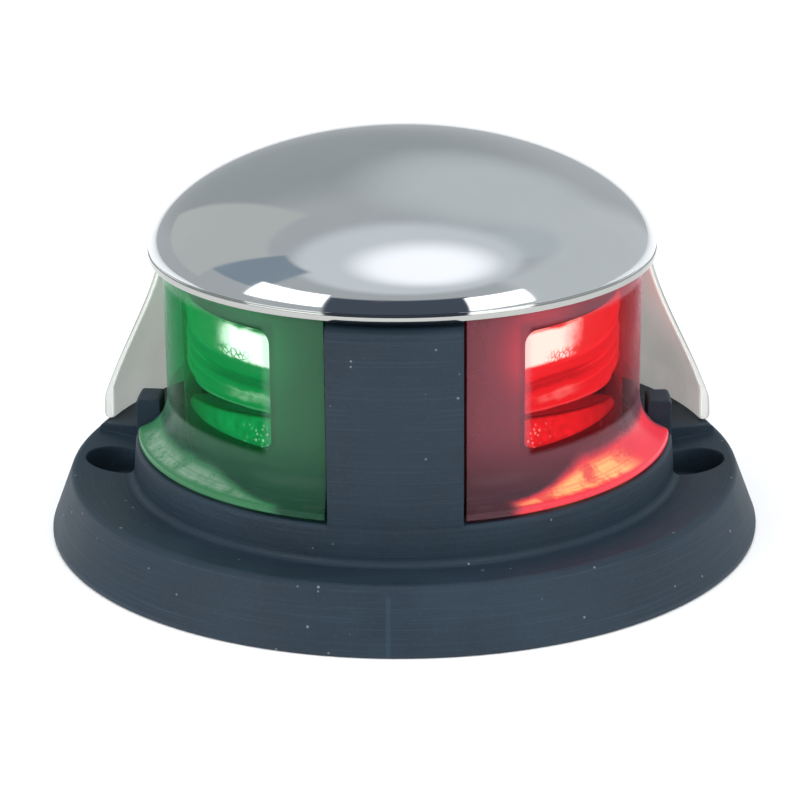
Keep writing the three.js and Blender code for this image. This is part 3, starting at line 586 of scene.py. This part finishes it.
def lit_optic(name, level, hot_colour):
    """Clear moulded optic with the LED's light painted on as a glow: an even glow, a hot patch in front of
    the
    LED broken up by small bubbles, painted bright and dark bands along the ribs, a painted bright line just
    above the underside and a painted brighter limb. The hot colour is strong enough to come through the lens
    as white."""
    graph = Graph(name)
    _, azimuth, height = graph.around()
    ragged = graph.times(graph.minus(graph.noise(330.0, 4.0, 0.65), 0.5), 9.0)
    reach = graph.plus(azimuth, ragged)
    drift = graph.plus(height, graph.times(ragged, 0.12))
    cells = graph.cells("DISTANCE_TO_EDGE", 1500.0)
    bubbles = graph.span(cells.outputs["Distance"], 0.02, 0.2, 0.12, 1.0)
    low = graph.times(graph.span(drift, 26.6, 25.6), graph.span(reach, 38.0, 44.0))
    patch = graph.times(graph.span(reach, 55.0, 45.0), graph.band(drift, 25.1, 28.3, 0.55))
    hot = graph.times(patch, graph.mix(low, grey(1.0), bubbles))
    veil = graph.times(graph.span(reach, 76.0, 46.0), graph.band(drift, 25.0, 28.6, 1.0))
    veil = graph.times(veil, graph.noise(500.0, 4.0, 0.7))
    # Painted highlights: a bright band along a rib, and a bright line just above the underside.
    ridge = graph.times(graph.band(drift, 20.7, 21.3, 0.5), graph.span(reach, 60.0, 38.0))
    ridge = graph.times(ridge, graph.span(graph.noise(260.0, 3.0), 0.38, 0.68))
    edge = graph.band(below_plane(graph, UNDERSIDE_HEIGHT, UNDERSIDE_SLOPE), -0.4, -0.15, 0.15)
    edge = graph.times(edge, graph.span(azimuth, 78.0, 50.0))
    bright = graph.times(veil, 0.05)
    for share, gain in ((hot, 1.0), (ridge, 0.20), (edge, 0.03)):
        bright = graph.plus(bright, graph.times(share, gain))
    # Painted shade: a dark band along the ribs.
    dark = graph.times(graph.band(drift, 22.3, 23.2, 0.35), graph.span(reach, 66.0, 48.0))
    even = graph.span(azimuth, 40.0, 100.0, 1.05, 0.85)
    even = graph.times(even, graph.minus(1.0, graph.times(dark, 0.4)))
    # Painted brighter limb.
    even = graph.plus(even, graph.times(graph.facing(0.25, 6.0), 0.8))
    even = graph.times(even, level)
    glow = graph.vector("ADD", graph.scaled(WHITE, even), graph.scaled(hot_colour, bright))
    normal = graph.bump(cells.outputs["Distance"], 0.03, 0.4)
    return graph.done(graph.principled(Base_Color=(0.10, 0.11, 0.11, 1.0), Roughness=0.12, IOR=1.49,
                                       Normal=normal, glow=glow))


def lit_tray(name, level, hot_colour):
    """White tray whose light from above is painted on as a glow: painted glints in its front corner, and
    painted shade under the optic and to the rear.
    """
    graph = Graph(name)
    _, azimuth, height = graph.around()
    grain = graph.noise(900.0, 3.0)
    points = graph.span(graph.cells("F1", 1900.0).outputs["Distance"], 0.42, 0.15)
    ragged = graph.times(graph.minus(graph.noise(400.0, 3.0), 0.5), 12.0)
    near = graph.times(graph.span(graph.plus(azimuth, ragged), 46.0, 37.0), graph.span(height, 18.6, 17.0))
    # Painted glints of LED light in the tray's front corner.
    painted_glints = graph.times(points, near)
    # Painted shade under the optic and towards the rear.
    shadow = graph.span(below_plane(graph, TRAY_HEIGHT, TRAY_SLOPE), 0.08, 0.5, 0.04, 1.0)
    even = graph.times(graph.span(azimuth, 45.0, 78.0, 1.0, 0.3), shadow)
    even = graph.times(even, graph.span(grain, 0.2, 0.8, 0.8 * level, 1.25 * level))
    flare = graph.scaled(hot_colour, graph.times(painted_glints, 0.3))
    return graph.done(graph.principled(Base_Color=graph.mix(grain, grey(0.08), grey(0.14)), Roughness=0.4,
                                       Normal=graph.bump(grain, 0.02, 0.4),
                                       glow=graph.vector("ADD", graph.scaled(WHITE, even), flare)))


def simple(name, colour, roughness, metallic=0.0, scale=260.0, variation=0.12, bump=0.012, stretch=None):
    """Everyday finish with its own grain: colour, roughness and relief all follow noise."""
    graph = Graph(name)
    cloud = graph.noise(scale, 4.0, 0.6, stretch=stretch)
    grain = graph.noise(scale * 7, 2.0, 0.6)
    darker, lighter = shade(colour, 1 - variation), shade(colour, 1 + variation)
    rough = graph.span(grain, 0.2, 0.8, max(0.03, roughness - 0.08), min(1.0, roughness + 0.08))
    return graph.done(graph.principled(Base_Color=graph.mix(graph.span(cloud, 0.3, 0.7), darker, lighter),
                                       Roughness=rough, Metallic=metallic,
                                       Normal=graph.bump(grain, bump, 0.6)))


def circuit_board(name, colour, track):
    """Solder mask with faint copper tracks under it."""
    graph = Graph(name)
    cells = graph.node("ShaderNodeTexBrick", Vector=graph.here, Scale=240.0, Mortar_Size=0.06,
                       Color1=grey(0.0), Color2=grey(0.0), Mortar=grey(1.0))
    cloud = graph.noise(180.0, 3.0)
    tracks = graph.node("ShaderNodeSeparateColor", Color=cells.outputs[0]).outputs[0]
    tone = graph.mix(graph.times(tracks, 0.5), colour, track)
    tone = graph.mix(graph.times(cloud, 0.2), tone, shade(colour, 0.6))
    return graph.done(graph.principled(Base_Color=tone, Roughness=graph.span(cloud, 0.3, 0.7, 0.28, 0.42),
                                       Normal=graph.bump(cells.outputs["Fac"], 0.02, 0.5)))


NAVY = (0.014, 0.0262, 0.0395)
navy = moulded_plastic("navy_plastic", NAVY, roughness=0.48, lines=0.95, dust=0.5, parting=5.9)
navy_housing = moulded_plastic("navy_housing", (0.02, 0.03, 0.036), roughness=0.5, lines=0.2, dust=0.1)
chrome = chrome_plate()
lens_material = {
    "port": coloured_lens("red_lens", film=(0.93, 0.12, 0.14), body=(0.44, 0.17, 0.22),
                          low_body=(0.17, 0.10, 0.13), rim=(0.70, 0.025, 0.045), core=(1.2, 0.60, 0.20),
                          glow_inner=(29.4, 27.5), middle_rear=54.0),
    "starboard": coloured_lens("green_lens", film=(0.10, 0.76, 0.39), body=(0.11, 0.27, 0.17),
                               low_body=(0.048, 0.15, 0.10), rim=(0.025, 0.13, 0.05),
                               core=(0.21, 0.31, 0.24), glow_inner=(30.0, 28.0), middle_rear=72.0),
}
HOT_RED = (1.3, 62.0, 40.0)
HOT_GREEN = (105.0, 2.2, 7.0)
optic_material = {"port": lit_optic("lit_optic_port", 0.84, HOT_RED),
                  "starboard": lit_optic("lit_optic_starboard", 0.33, HOT_GREEN)}
tray_material = {"port": lit_tray("lit_tray_port", 0.84, HOT_RED),
                 "starboard": lit_tray("lit_tray_starboard", 0.38, HOT_GREEN)}

SLOT_MATERIALS = {
    "navy_plastic": navy,
    "chrome": chrome,
    "green_lens": lens_material["starboard"],
    "red_lens": lens_material["port"],
    "clear_optic": optic_material["port"],
    "white_reflector": tray_material["port"],
    "black_plastic": moulded_plastic("black_plastic", (0.012, 0.013, 0.014), roughness=0.5, lines=0.3,
                                     dust=0.1),
    "black_rubber": simple("black_rubber", (0.012, 0.012, 0.012), 0.82, scale=400.0, bump=0.03),
    "grey_pad": simple("grey_pad", (0.30, 0.32, 0.33), 0.85, bump=0.03),
    "aluminium": simple("aluminium", (0.62, 0.64, 0.65), 0.36, 1.0, stretch=(1.0, 1.0, 0.1), bump=0.006),
    "stainless": simple("stainless", (0.58, 0.58, 0.57), 0.26, 1.0, bump=0.004),
    "brass": simple("brass", (0.62, 0.43, 0.15), 0.32, 1.0, bump=0.006),
    "board_green": circuit_board("board_green", (0.012, 0.10, 0.04, 1.0), (0.04, 0.22, 0.09, 1.0)),
    "board_white": circuit_board("board_white", (0.72, 0.72, 0.69, 1.0), (0.60, 0.60, 0.56, 1.0)),
    "led_package": simple("led_package", (0.85, 0.78, 0.35), 0.3, variation=0.06),
    "capacitor_sleeve": simple("capacitor_sleeve", (0.014, 0.018, 0.026), 0.42),
    "wire": simple("wire", (0.012, 0.012, 0.013), 0.55, bump=0.01),
}


def dress_cad_nodes():
    for subpart in frame["record"]["subparts"]:
        node = frame["nodes"].get(subpart["node"])
        material = SLOT_MATERIALS.get(subpart["material_slot"])
        if node is None or material is None:
            continue
        node.data.materials.clear()
        node.data.materials.append(material)


# ---- base --------------------------------------------------------------------------------------

# The housing's drum and the lenses stand between the same two heights.
DRUM_BOTTOM = 10.8
DRUM_TOP = 33.2
BASE_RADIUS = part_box("base")[1].x / MM
SHOULDER_RADIUS = 38.7
FLANGE_TOP = 7.2
FLANGE_INNER_TOP = 6.2
RING_RADIUS = 31.2
RING_TOP = 10.5
SEAL_GROOVE = 9.3
HOUSING_RADIUS = 25.1
PILLAR_HALF_WIDTH = 7.25
PILLAR_SHOULDER = 31.9
PLATFORM_TOP = 8.0
STOP_TOP = 14.4
LEDGE = 10.2
COVER_RECESS = 3.2
POCKET_FLOOR = 3.2
POCKET_X = 33.1
DECK_SCREW_X = 34.4
BOSS_SPOTS = [(13.3, -13.3), (13.3, 13.3), (-13.3, 13.3), (-13.3, -13.3)]
SKIRT_SCREWS = [polar(34.6, sign * 140, 0) for sign in (1, -1)]


def base_outline():
    return rounded([
        (23.9, 0.0, 0.25), (27.0, 0.0, 0.2), (27.0, 1.5), (39.5, 1.5), (39.5, 0.0, 0.2),
        (BASE_RADIUS, 0.0, 0.45), (BASE_RADIUS, 0.6, 0.5), (SHOULDER_RADIUS, FLANGE_TOP, 0.8),
        (31.6, FLANGE_INNER_TOP, 0.8), (RING_RADIUS, RING_TOP, 0.5), (28.2, RING_TOP), (28.2, SEAL_GROOVE),
        (25.8, SEAL_GROOVE), (25.8, RING_TOP), (22.6, RING_TOP), (22.6, LEDGE), (21.0, LEDGE),
        (21.0, COVER_RECESS), (21.65, COVER_RECESS), (21.65, 4.6), (23.35, 4.6), (23.35, COVER_RECESS),
        (23.9, COVER_RECESS)])


def base_mesh():
    body = turned(base_outline())
    platform = turned(rounded([(28.9, 3.0), (38.6, 3.0), (37.9, PLATFORM_TOP, 0.6), (28.9, PLATFORM_TOP)]),
                      103, 257)
    pillar = turned(rounded([(25.4, 8.0), (RING_RADIUS, 8.0), (RING_RADIUS, PILLAR_SHOULDER, 0.6),
                             (27.4, PILLAR_SHOULDER, 0.2), (27.4, DRUM_TOP, 0.2),
                             (25.4, DRUM_TOP, 0.2)]), -21.5, 21.5, columns=420)
    pillar = carve(pillar, "INTERSECT", block((-PILLAR_HALF_WIDTH, -45, 0), (PILLAR_HALF_WIDTH, 0, 60)))
    stop = turned(rounded([(28.4, 9.4), (RING_RADIUS, 9.4), (RING_RADIUS, STOP_TOP, 0.5),
                           (28.4, STOP_TOP, 0.4)]), 87.5, 95.5, columns=400)
    body = carve(body, "UNION", platform, pillar, stop, mirrored(stop))
    column = rod(4.6, COVER_RECESS, LEDGE)
    web = block((-21.3, -1.5, 5.6), (21.3, 1.5, LEDGE))
    bosses = [rod(3.0, COVER_RECESS, LEDGE, spot) for spot in BOSS_SPOTS]
    bridges = []
    for x, y in BOSS_SPOTS:
        bridge = block((-2.1, 0, COVER_RECESS), (2.1, 3.4, LEDGE))
        turn = Matrix.Rotation(math.atan2(y, x) - math.pi / 2, 4, "Z")
        bridge.transform(Matrix.Translation((x, y, 0)) @ turn)
        bridges.append(bridge)
    body = carve(body, "UNION", column, web, *bosses, *bridges)
    holes = [rod(2.4, 0, 20), rod(3.8, 0, 5.7)]
    holes += [rod(1.4, 0, 20, spot, 24) for spot in BOSS_SPOTS]
    for x, y, _ in SKIRT_SCREWS:
        holes += [rod(1.5, -1, 12, (x, y), 28), rod(2.9, -1, 4, (x, y), 36)]
    for sign in (1, -1):
        mouth = rounded([(0, POCKET_FLOOR), (4.1, POCKET_FLOOR, 0.4), (4.1, 5.9), (4.5, 7.3), (4.5, 12),
                         (0, 12)])
        pocket = turned(mouth, centre=(sign * POCKET_X, 0), columns=96)
        holes.append(carve(pocket, "DIFFERENCE", turned([(0, -1), (31.5, -1), (31.5, 14), (0, 14)])))
        holes.append(turned([(0, -1), (1.9, -1), (1.9, 2.9), (2.2, 3.21), (2.2, 4), (0, 4)],
                            centre=(sign * DECK_SCREW_X, 0), columns=48))
    return carve(body, "DIFFERENCE", *holes)


piece("base_moulding", base_mesh(), navy, "navy_plastic", "base")


# ---- housing behind the lenses -----------------------------------------------------------------

WINDOW = {"front": 33.3, "rear": 113.0, "bottom": 15.2, "top": 29.0, "corner": 1.5}


def window_slab(inset=0.0, flare=0.0):
    """The window as a curved slab with rounded corners, shrunk all round by an inset. A flare opens its
    outer edge, for the bevel round the hole."""
    side = math.degrees(inset / 23.5)
    front, rear = WINDOW["front"] + side, WINDOW["rear"] - side
    corner = WINDOW["corner"] - inset
    turn = math.degrees(corner / HOUSING_RADIUS)
    stations = []
    for step in range(9):
        angle = math.radians(90 * step / 8)
        stations.append((front + turn * (1 - math.cos(angle)), corner * (1 - math.sin(angle))))
    near, far = front + turn, rear - turn
    across = [(near + (far - near) * k / 60, 0.0) for k in range(1, 60)]
    mirror = [(front + rear - azimuth, drop) for azimuth, drop in reversed(stations)]
    loops = []
    for azimuth, drop in stations + across + mirror:
        low, high = WINDOW["bottom"] + inset + drop, WINDOW["top"] - inset - drop
        section = ((20, low), (24.9, low), (25.6, low - flare),
                   (25.6, high + flare), (24.9, high), (20, high))
        loops.append([polar(r, azimuth, z) for r, z in section])
    return loft(loops)


def housing_mesh():
    inner = HOUSING_RADIUS - 1.6
    shell = turned(rounded([(inner, DRUM_BOTTOM), (HOUSING_RADIUS, DRUM_BOTTOM, 0.2),
                            (HOUSING_RADIUS, DRUM_TOP, 0.3), (2.4, DRUM_TOP), (2.4, 31.0),
                            (inner, 31.0, 0.5)]), columns=240)
    window = window_slab(flare=0.28)
    return carve(shell, "DIFFERENCE", window, mirrored(window))


piece("housing_drum", housing_mesh(), navy_housing, "navy_plastic", "light_housing")


# ---- lenses ------------------------------------------------------------------------------------

LENS_RADIUS = 27.4
LENS_FRONT = PILLAR_HALF_WIDTH + 0.3
LENS_REAR = 116.0
FOOT_RADIUS = 30.9
FOOT_REAR = 86.5


def lens_section(outline, rear, columns, end_taper):
    """A section swept from the divider's side, which is a flat plane, back to an azimuth."""
    loops = []
    for column in range(columns + 1):
        share = column / columns
        loop = []
        for r, z in outline:
            r = end_taper(r, rear * share)
            front = math.degrees(math.asin(LENS_FRONT / r))
            loop.append(polar(r, front + (rear - front) * share, z))
        loops.append(loop)
    return loft(loops)


def lens_mesh():
    inner = LENS_RADIUS - 2.0
    wall = rounded([(inner, DRUM_BOTTOM), (LENS_RADIUS, DRUM_BOTTOM), (LENS_RADIUS, DRUM_TOP, 0.25),
                    (inner, DRUM_TOP, 0.25)])
    cove = bezier((30.65, 11.6), (29.4, 11.75), (27.5, 12.7), (LENS_RADIUS - 0.02, 15.9), 14)
    foot = [(inner + 0.6, DRUM_BOTTOM), (30.75, DRUM_BOTTOM), (FOOT_RADIUS, 10.95), (FOOT_RADIUS, 11.35),
            (30.82, 11.55), *cove, (inner + 0.6, 15.7)]

    def same(r, azimuth):
        return r

    def rounded_end(r, azimuth):
        reach = max(0.0, (azimuth - (FOOT_REAR - 4.0)) / 4.0)
        limit = FOOT_RADIUS - 2.2 * (1 - math.sqrt(max(0.0, 1 - reach * reach)))
        return min(r, limit) if r > LENS_RADIUS else r

    body = lens_section(wall, LENS_REAR, 110, same)
    skirt = lens_section(foot, FOOT_REAR, 120, rounded_end)
    return carve(body, "UNION", skirt)


lens_shape = lens_mesh()
for side, sign in SIDES.items():
    shape = lens_shape if sign > 0 else mirrored(lens_shape)
    colour_slot = "red_lens" if sign > 0 else "green_lens"
    piece(f"lens_moulding_{side}", shape, lens_material[side], colour_slot, f"lens_{side}")


# ---- optics and trays --------------------------------------------------------------------------

OPTIC_BORE = 23.2
OPTIC_FACE = 24.95
OPTIC_FRONT = 34.1
OPTIC_REAR = 112.0
TRAY_REAR = 76.0


def forward(radius, azimuth):
    """How far ahead of the axis a point lies."""
    return radius * math.cos(math.radians(azimuth))


def through_window(mesh):
    """Pieces behind a window fill the housing's bore, and a pad on them reaches out through the window."""
    reach = carve(rod(OPTIC_BORE, 10, 40, columns=200), "UNION", window_slab(inset=0.3))
    return carve(mesh, "INTERSECT", reach)


def swelling(start, end, depth, steps):
    """A barrel-shaped stretch of the optic's face between two heights."""
    points = []
    for step in range(steps + 1):
        t = step / steps
        points.append((OPTIC_FACE - depth * (1 - math.sin(math.pi * t) ** 0.7), start + (end - start) * t))
    return points


def optic_mesh():
    columns = 150
    inner, leg, top, band = 18.6, 19.7, 29.6, 24.2
    rib = 1.6
    loops = []
    for column in range(columns + 1):
        azimuth = OPTIC_FRONT + (OPTIC_REAR - OPTIC_FRONT) * column / columns
        rows = []
        for k in range(3):
            rows += swelling(band - rib * (3 - k), band - rib * (2 - k), 0.5, 8)[:-1]
        rows += swelling(band, top, 0.6, 14)
        profile = [(inner, 16.0), (leg, 16.0)]
        for r, z in [(leg, 0.0), (OPTIC_FACE - 0.8, 0.0)] + rows:
            underside = UNDERSIDE_HEIGHT + UNDERSIDE_SLOPE * forward(r, azimuth)
            profile.append((r, max(z, underside)))
        profile.append((inner, top))
        loops.append([polar(r, azimuth, z) for r, z in profile])
    return through_window(loft(loops))


def tray_mesh():
    """The tray's outer face leans back, so that its top edge lies in the optic's shade."""
    loops = []
    columns = 80
    for column in range(columns + 1):
        azimuth = OPTIC_FRONT + (TRAY_REAR - OPTIC_FRONT) * column / columns
        outline = []
        for r, z in ((20.1, 15.9), (21.4, 15.9), (21.4, 15.5), (OPTIC_FACE, 15.5), (OPTIC_FACE, 16.1),
                     (OPTIC_FACE - 0.5, 40.0), (20.1, 40.0)):
            outline.append((r, min(z, TRAY_HEIGHT + TRAY_SLOPE * forward(r, azimuth))))
        loops.append([polar(r, azimuth, z) for r, z in rounded([(r, z, 0.12) for r, z in outline], 3)])
    return through_window(loft(loops))


optic_shape, tray_shape = optic_mesh(), tray_mesh()
for side, sign in SIDES.items():
    optic, tray = [shape if sign > 0 else mirrored(shape) for shape in (optic_shape, tray_shape)]
    piece(f"optic_moulding_{side}", optic, optic_material[side], "clear_optic", f"optic_{side}", crease=40)
    piece(f"tray_moulding_{side}", tray, tray_material[side], "white_reflector", f"reflector_tray_{side}")


# ---- hood --------------------------------------------------------------------------------------

DOME_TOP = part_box("hood")[1].z / MM
DOME_RADIUS = 29.0
DOME_START = 32.85
DOME_SIDE_POWER = 1.11
DOME_RISE_POWER = 1.06
SKIRT_FRONT = 105.0
SKIRT_RADIUS = 37.95


def dome_arc(radius, top, steps, low=0.0, stop=0.0):
    """A rounded cone: radius and height follow powers of a quarter turn, from its foot up to the top. It
    starts a few degrees up the turn and ends at a stop radius."""
    points = []
    for step in range(steps + 1):
        turn = math.radians(low + (90 - low) * step / steps)
        r = radius * max(0.0, math.cos(turn)) ** DOME_SIDE_POWER
        z = DOME_START + (top - DOME_START) * math.sin(turn) ** DOME_RISE_POWER
        if r < stop:
            break
        points.append((0.0 if step == steps else r, z))
    return points


def dome_mesh():
    """The dome stands a hair inside a short upright lip, which leaves a fine line round the rim."""
    outer = dome_arc(DOME_RADIUS - 0.02, DOME_TOP, 60, low=3.6)
    shell = 1.2
    inner = dome_arc(DOME_RADIUS - shell, DOME_TOP - shell, 30, stop=5.0)
    inner = [point for point in inner if point[0] < 25]
    lip = [(28.6, 32.5), (28.82, 32.52), (28.94, 32.6), (29.0, 32.75), (29.0, 33.15), (28.96, 33.26),
           (28.86, 33.32), (28.84, 33.4)]
    outline = [*outer, (0, 41.7), (3.7, 41.7), (3.7, 33.5), (5.0, 33.5), *reversed(inner),
               (25.0, 34.8), (27.8, 34.8), (27.8, 32.5), *lip]
    return turned(outline, columns=256)


def skirt_mesh():
    """A thin bell-shaped wall with a thicker hem. Its two upright edges are rounded over."""
    steps = 40
    outer = [*bezier((28.4, 34.6), (28.9, 34.5), (29.25, 33.9), (29.4, 33.0), 6)[:-1],
             *bezier((29.4, 33.0), (30.1, 25.2), (34.8, 19.2), (37.75, 11.2), steps)[:-1],
             *bezier((37.75, 11.2), (37.87, 10.6), (37.95, 9.6), (SKIRT_RADIUS, 8.75), 4),
             (37.8, 8.4), (37.6, 8.3)]
    inner = [*bezier((27.9, 34.0), (28.1, 33.9), (28.4, 33.6), (28.6, 33.0), 6)[:-1],
             *bezier((28.6, 33.0), (29.3, 25.2), (34.0, 19.2), (36.45, 12.2), steps)[:-1],
             *bezier((36.45, 12.2), (36.5, 11.4), (36.53, 10.0), (36.55, 8.75), 4),
             (36.65, 8.4), (36.8, 8.3)]
    rounding, columns = 0.34, 120
    start, stop = SKIRT_FRONT, 360 - SKIRT_FRONT
    front_end = []
    for step in range(7):
        turn = math.radians(90 * step / 6)
        along = math.degrees(rounding * (1 - math.cos(turn)) / 33)
        front_end.append((start + along, rounding * (1 - math.sin(turn))))
    between = [(start + 1 + (stop - start - 2) * k / columns, 0.0) for k in range(columns + 1)]
    rear_end = [(start + stop - azimuth, pinch) for azimuth, pinch in reversed(front_end)]
    loops = []
    for azimuth, pinch in front_end + between + rear_end:
        outside, inside = [], []
        for (outer_r, outer_z), (inner_r, inner_z) in zip(outer, inner):
            half = Vector((outer_r - inner_r, outer_z - inner_z)) / 2
            middle = Vector((outer_r + inner_r, outer_z + inner_z)) / 2
            kept = max(0.05, 1 - pinch / max(half.length, 0.01))
            near, far = middle + half * kept, middle - half * kept
            outside.append(polar(near.x, azimuth, near.y))
            inside.append(polar(far.x, azimuth, far.y))
        loops.append(outside + inside[::-1])
    return loft(loops)


def hood_mesh():
    bosses = [rod(2.4, 8.3, 12.8, (x, y), 36) for x, y, _ in SKIRT_SCREWS]
    body = carve(dome_mesh(), "UNION", skirt_mesh(), *bosses)
    return carve(body, "DIFFERENCE", *[rod(1.5, 8, 12, (x, y), 28) for x, y, _ in SKIRT_SCREWS])


piece("hood_shell", hood_mesh(), chrome, "chrome", "hood", crease=30)


# ---- gasket and cover underneath ---------------------------------------------------------------


def deck_gasket_mesh():
    ring = turned(rounded([(27.3, 0.0, 0.2), (39.2, 0.0, 0.2), (39.2, 1.2), (27.3, 1.2)]))
    return carve(ring, "DIFFERENCE", *[rod(2.3, -1, 3, (sign * DECK_SCREW_X, 0), 40) for sign in (1, -1)])


def cover_mesh():
    plate = turned(rounded([(0, 0.5), (23.6, 0.5, 0.3), (23.6, 2.9), (0, 2.9)]))
    holes = [rod(1.4, 0, 4, spot, 24) for spot in BOSS_SPOTS]
    holes += [rod(2.7, 0, 1.9, spot) for spot in BOSS_SPOTS]
    holes += [rod(4.3, 0, 4, (0, 13.5)), rod(5.7, 0, 1.6, (0, 13.5))]
    rings = [turned([(r, 0.3), (r + 0.5, 0.3), (r + 0.5, 0.75), (r, 0.75)]) for r in (7.5, 21.6)]
    return carve(plate, "DIFFERENCE", *holes, *rings)


piece("deck_gasket_ring", deck_gasket_mesh(), SLOT_MATERIALS["black_rubber"], "black_rubber", "deck_gasket")
piece("bottom_cover_plate", cover_mesh(), SLOT_MATERIALS["black_plastic"], "black_plastic", "bottom_cover")

dress_cad_nodes()


# ---- floor and light ---------------------------------------------------------------------------


def make_floor():
    bm = bmesh.new()
    bmesh.ops.create_grid(bm, x_segments=8, y_segments=8, size=1.6)
    mesh = bpy.data.meshes.new("floor")
    bm.to_mesh(mesh)
    bm.free()
    graph = Graph("floor_paper")
    fibre = graph.noise(900.0, 3.0)
    tone = graph.mix(fibre, grey(0.93), grey(0.96))
    mesh.materials.append(graph.done(graph.principled(Base_Color=tone, Roughness=0.8)))
    floor = bpy.data.objects.new("floor", mesh)
    floor.location.z = CAD_BOX[0][2]
    bpy.context.scene.collection.objects.link(floor)


class Sky(Graph):
    """The studio as a procedural surround: a grey room with paler and darker patches, an overhead softbox,
    a dark wall in front and a bright panel on either side of it."""

    def __init__(self):
        world = bpy.data.worlds.new("studio")
        bpy.context.scene.world = world
        self.start(world)
        self.ray = self.node("ShaderNodeTexCoord").outputs["Generated"]
        x, y, z = self.node("ShaderNodeSeparateXYZ", Vector=self.ray).outputs
        self.azimuth = self.math("DEGREES", self.math("ARCTAN2", x, self.times(y, -1.0)))
        self.elevation = self.math("DEGREES", self.math("ARCSINE", z))

    def disc(self, azimuth, elevation, inner, outer):
        """1 within inner degrees of a direction, falling to 0 at outer degrees."""
        tilt = math.radians(elevation)
        near = self.dot(self.ray, polar(math.cos(tilt), azimuth, math.sin(tilt)))
        return self.span(near, math.cos(math.radians(outer)), math.cos(math.radians(inner)))

    def panel(self, azimuths, elevations, soft):
        """1 inside a box of azimuths and elevations, with soft edges in degrees."""
        result = 1.0
        for value, (low, high) in ((self.azimuth, azimuths), (self.elevation, elevations)):
            result = self.times(result, self.span(value, low - soft, low + soft))
            result = self.times(result, self.minus(1.0, self.span(value, high - soft, high + soft)))
        return result

    def build(self, base, layers):
        """layers: (mask, colour) laid over the base colour in turn."""
        colour = (*base, 1.0)
        for mask, tone in layers:
            colour = self.mix(mask, colour, (*tone, 1.0))
        background = self.node("ShaderNodeBackground", Color=colour)
        self.node("ShaderNodeOutputWorld", Surface=background)


def make_sky():
    sky = Sky()
    sky.build((0.46, 0.485, 0.50), [
        (sky.disc(-166, 24, 10, 30), (0.36, 0.39, 0.40)),
        (sky.disc(160, 44, 8, 26), (0.58, 0.62, 0.63)),
        (sky.panel((58, 152), (-8, 50), 6), (0.60, 0.63, 0.65)),
        (sky.disc(118, 58, 8, 14), (0.52, 0.57, 0.60)),
        (sky.panel((-150, -101), (12, 54), 1.2), (0.53, 0.55, 0.54)),
        (sky.disc(10, 78, 30, 38), (0.68, 0.72, 0.76)),
        (sky.panel((-101, -66), (26, 59), 1.2), (0.26, 0.32, 0.38)),
        (sky.disc(32, 76, 10, 26), (1.28, 1.28, 1.34)),
        (sky.panel((-33, 33), (-8, 33), 1.5), (0.070, 0.085, 0.115)),
        (sky.panel((-72, -34), (12, 36), 1.0), (2.6, 2.6, 2.6)),
        (sky.panel((31, 61), (6, 31), 1.2), (2.6, 2.6, 2.6)),
    ])


def area_light(name, position, aim, size, power):
    data = bpy.data.lights.new(name, "AREA")
    data.shape = "DISK"
    data.size = size
    data.energy = power
    light = bpy.data.objects.new(name, data)
    bpy.context.scene.collection.objects.link(light)
    light.location = position
    light.rotation_euler = (Vector(aim) - Vector(position)).to_track_quat("-Z", "Y").to_euler()
    light.visible_glossy = False
    light.visible_camera = False


make_floor()
make_sky()
area_light("overhead_soft", (0.0, -0.1, 0.9), (0, 0, 0), 0.9, 3.8)
area_light("front_soft", (0.0, -1.0, 0.34), (0, 0, 0.02), 0.55, 1.8)
area_light("left_soft", (-0.85, -0.4, 0.3), (0, 0, 0.01), 0.4, 4.2)
area_light("right_soft", (0.85, -0.4, 0.3), (0, 0, 0.01), 0.4, 2.7)

bpy.context.scene.view_settings.view_transform = "Standard"
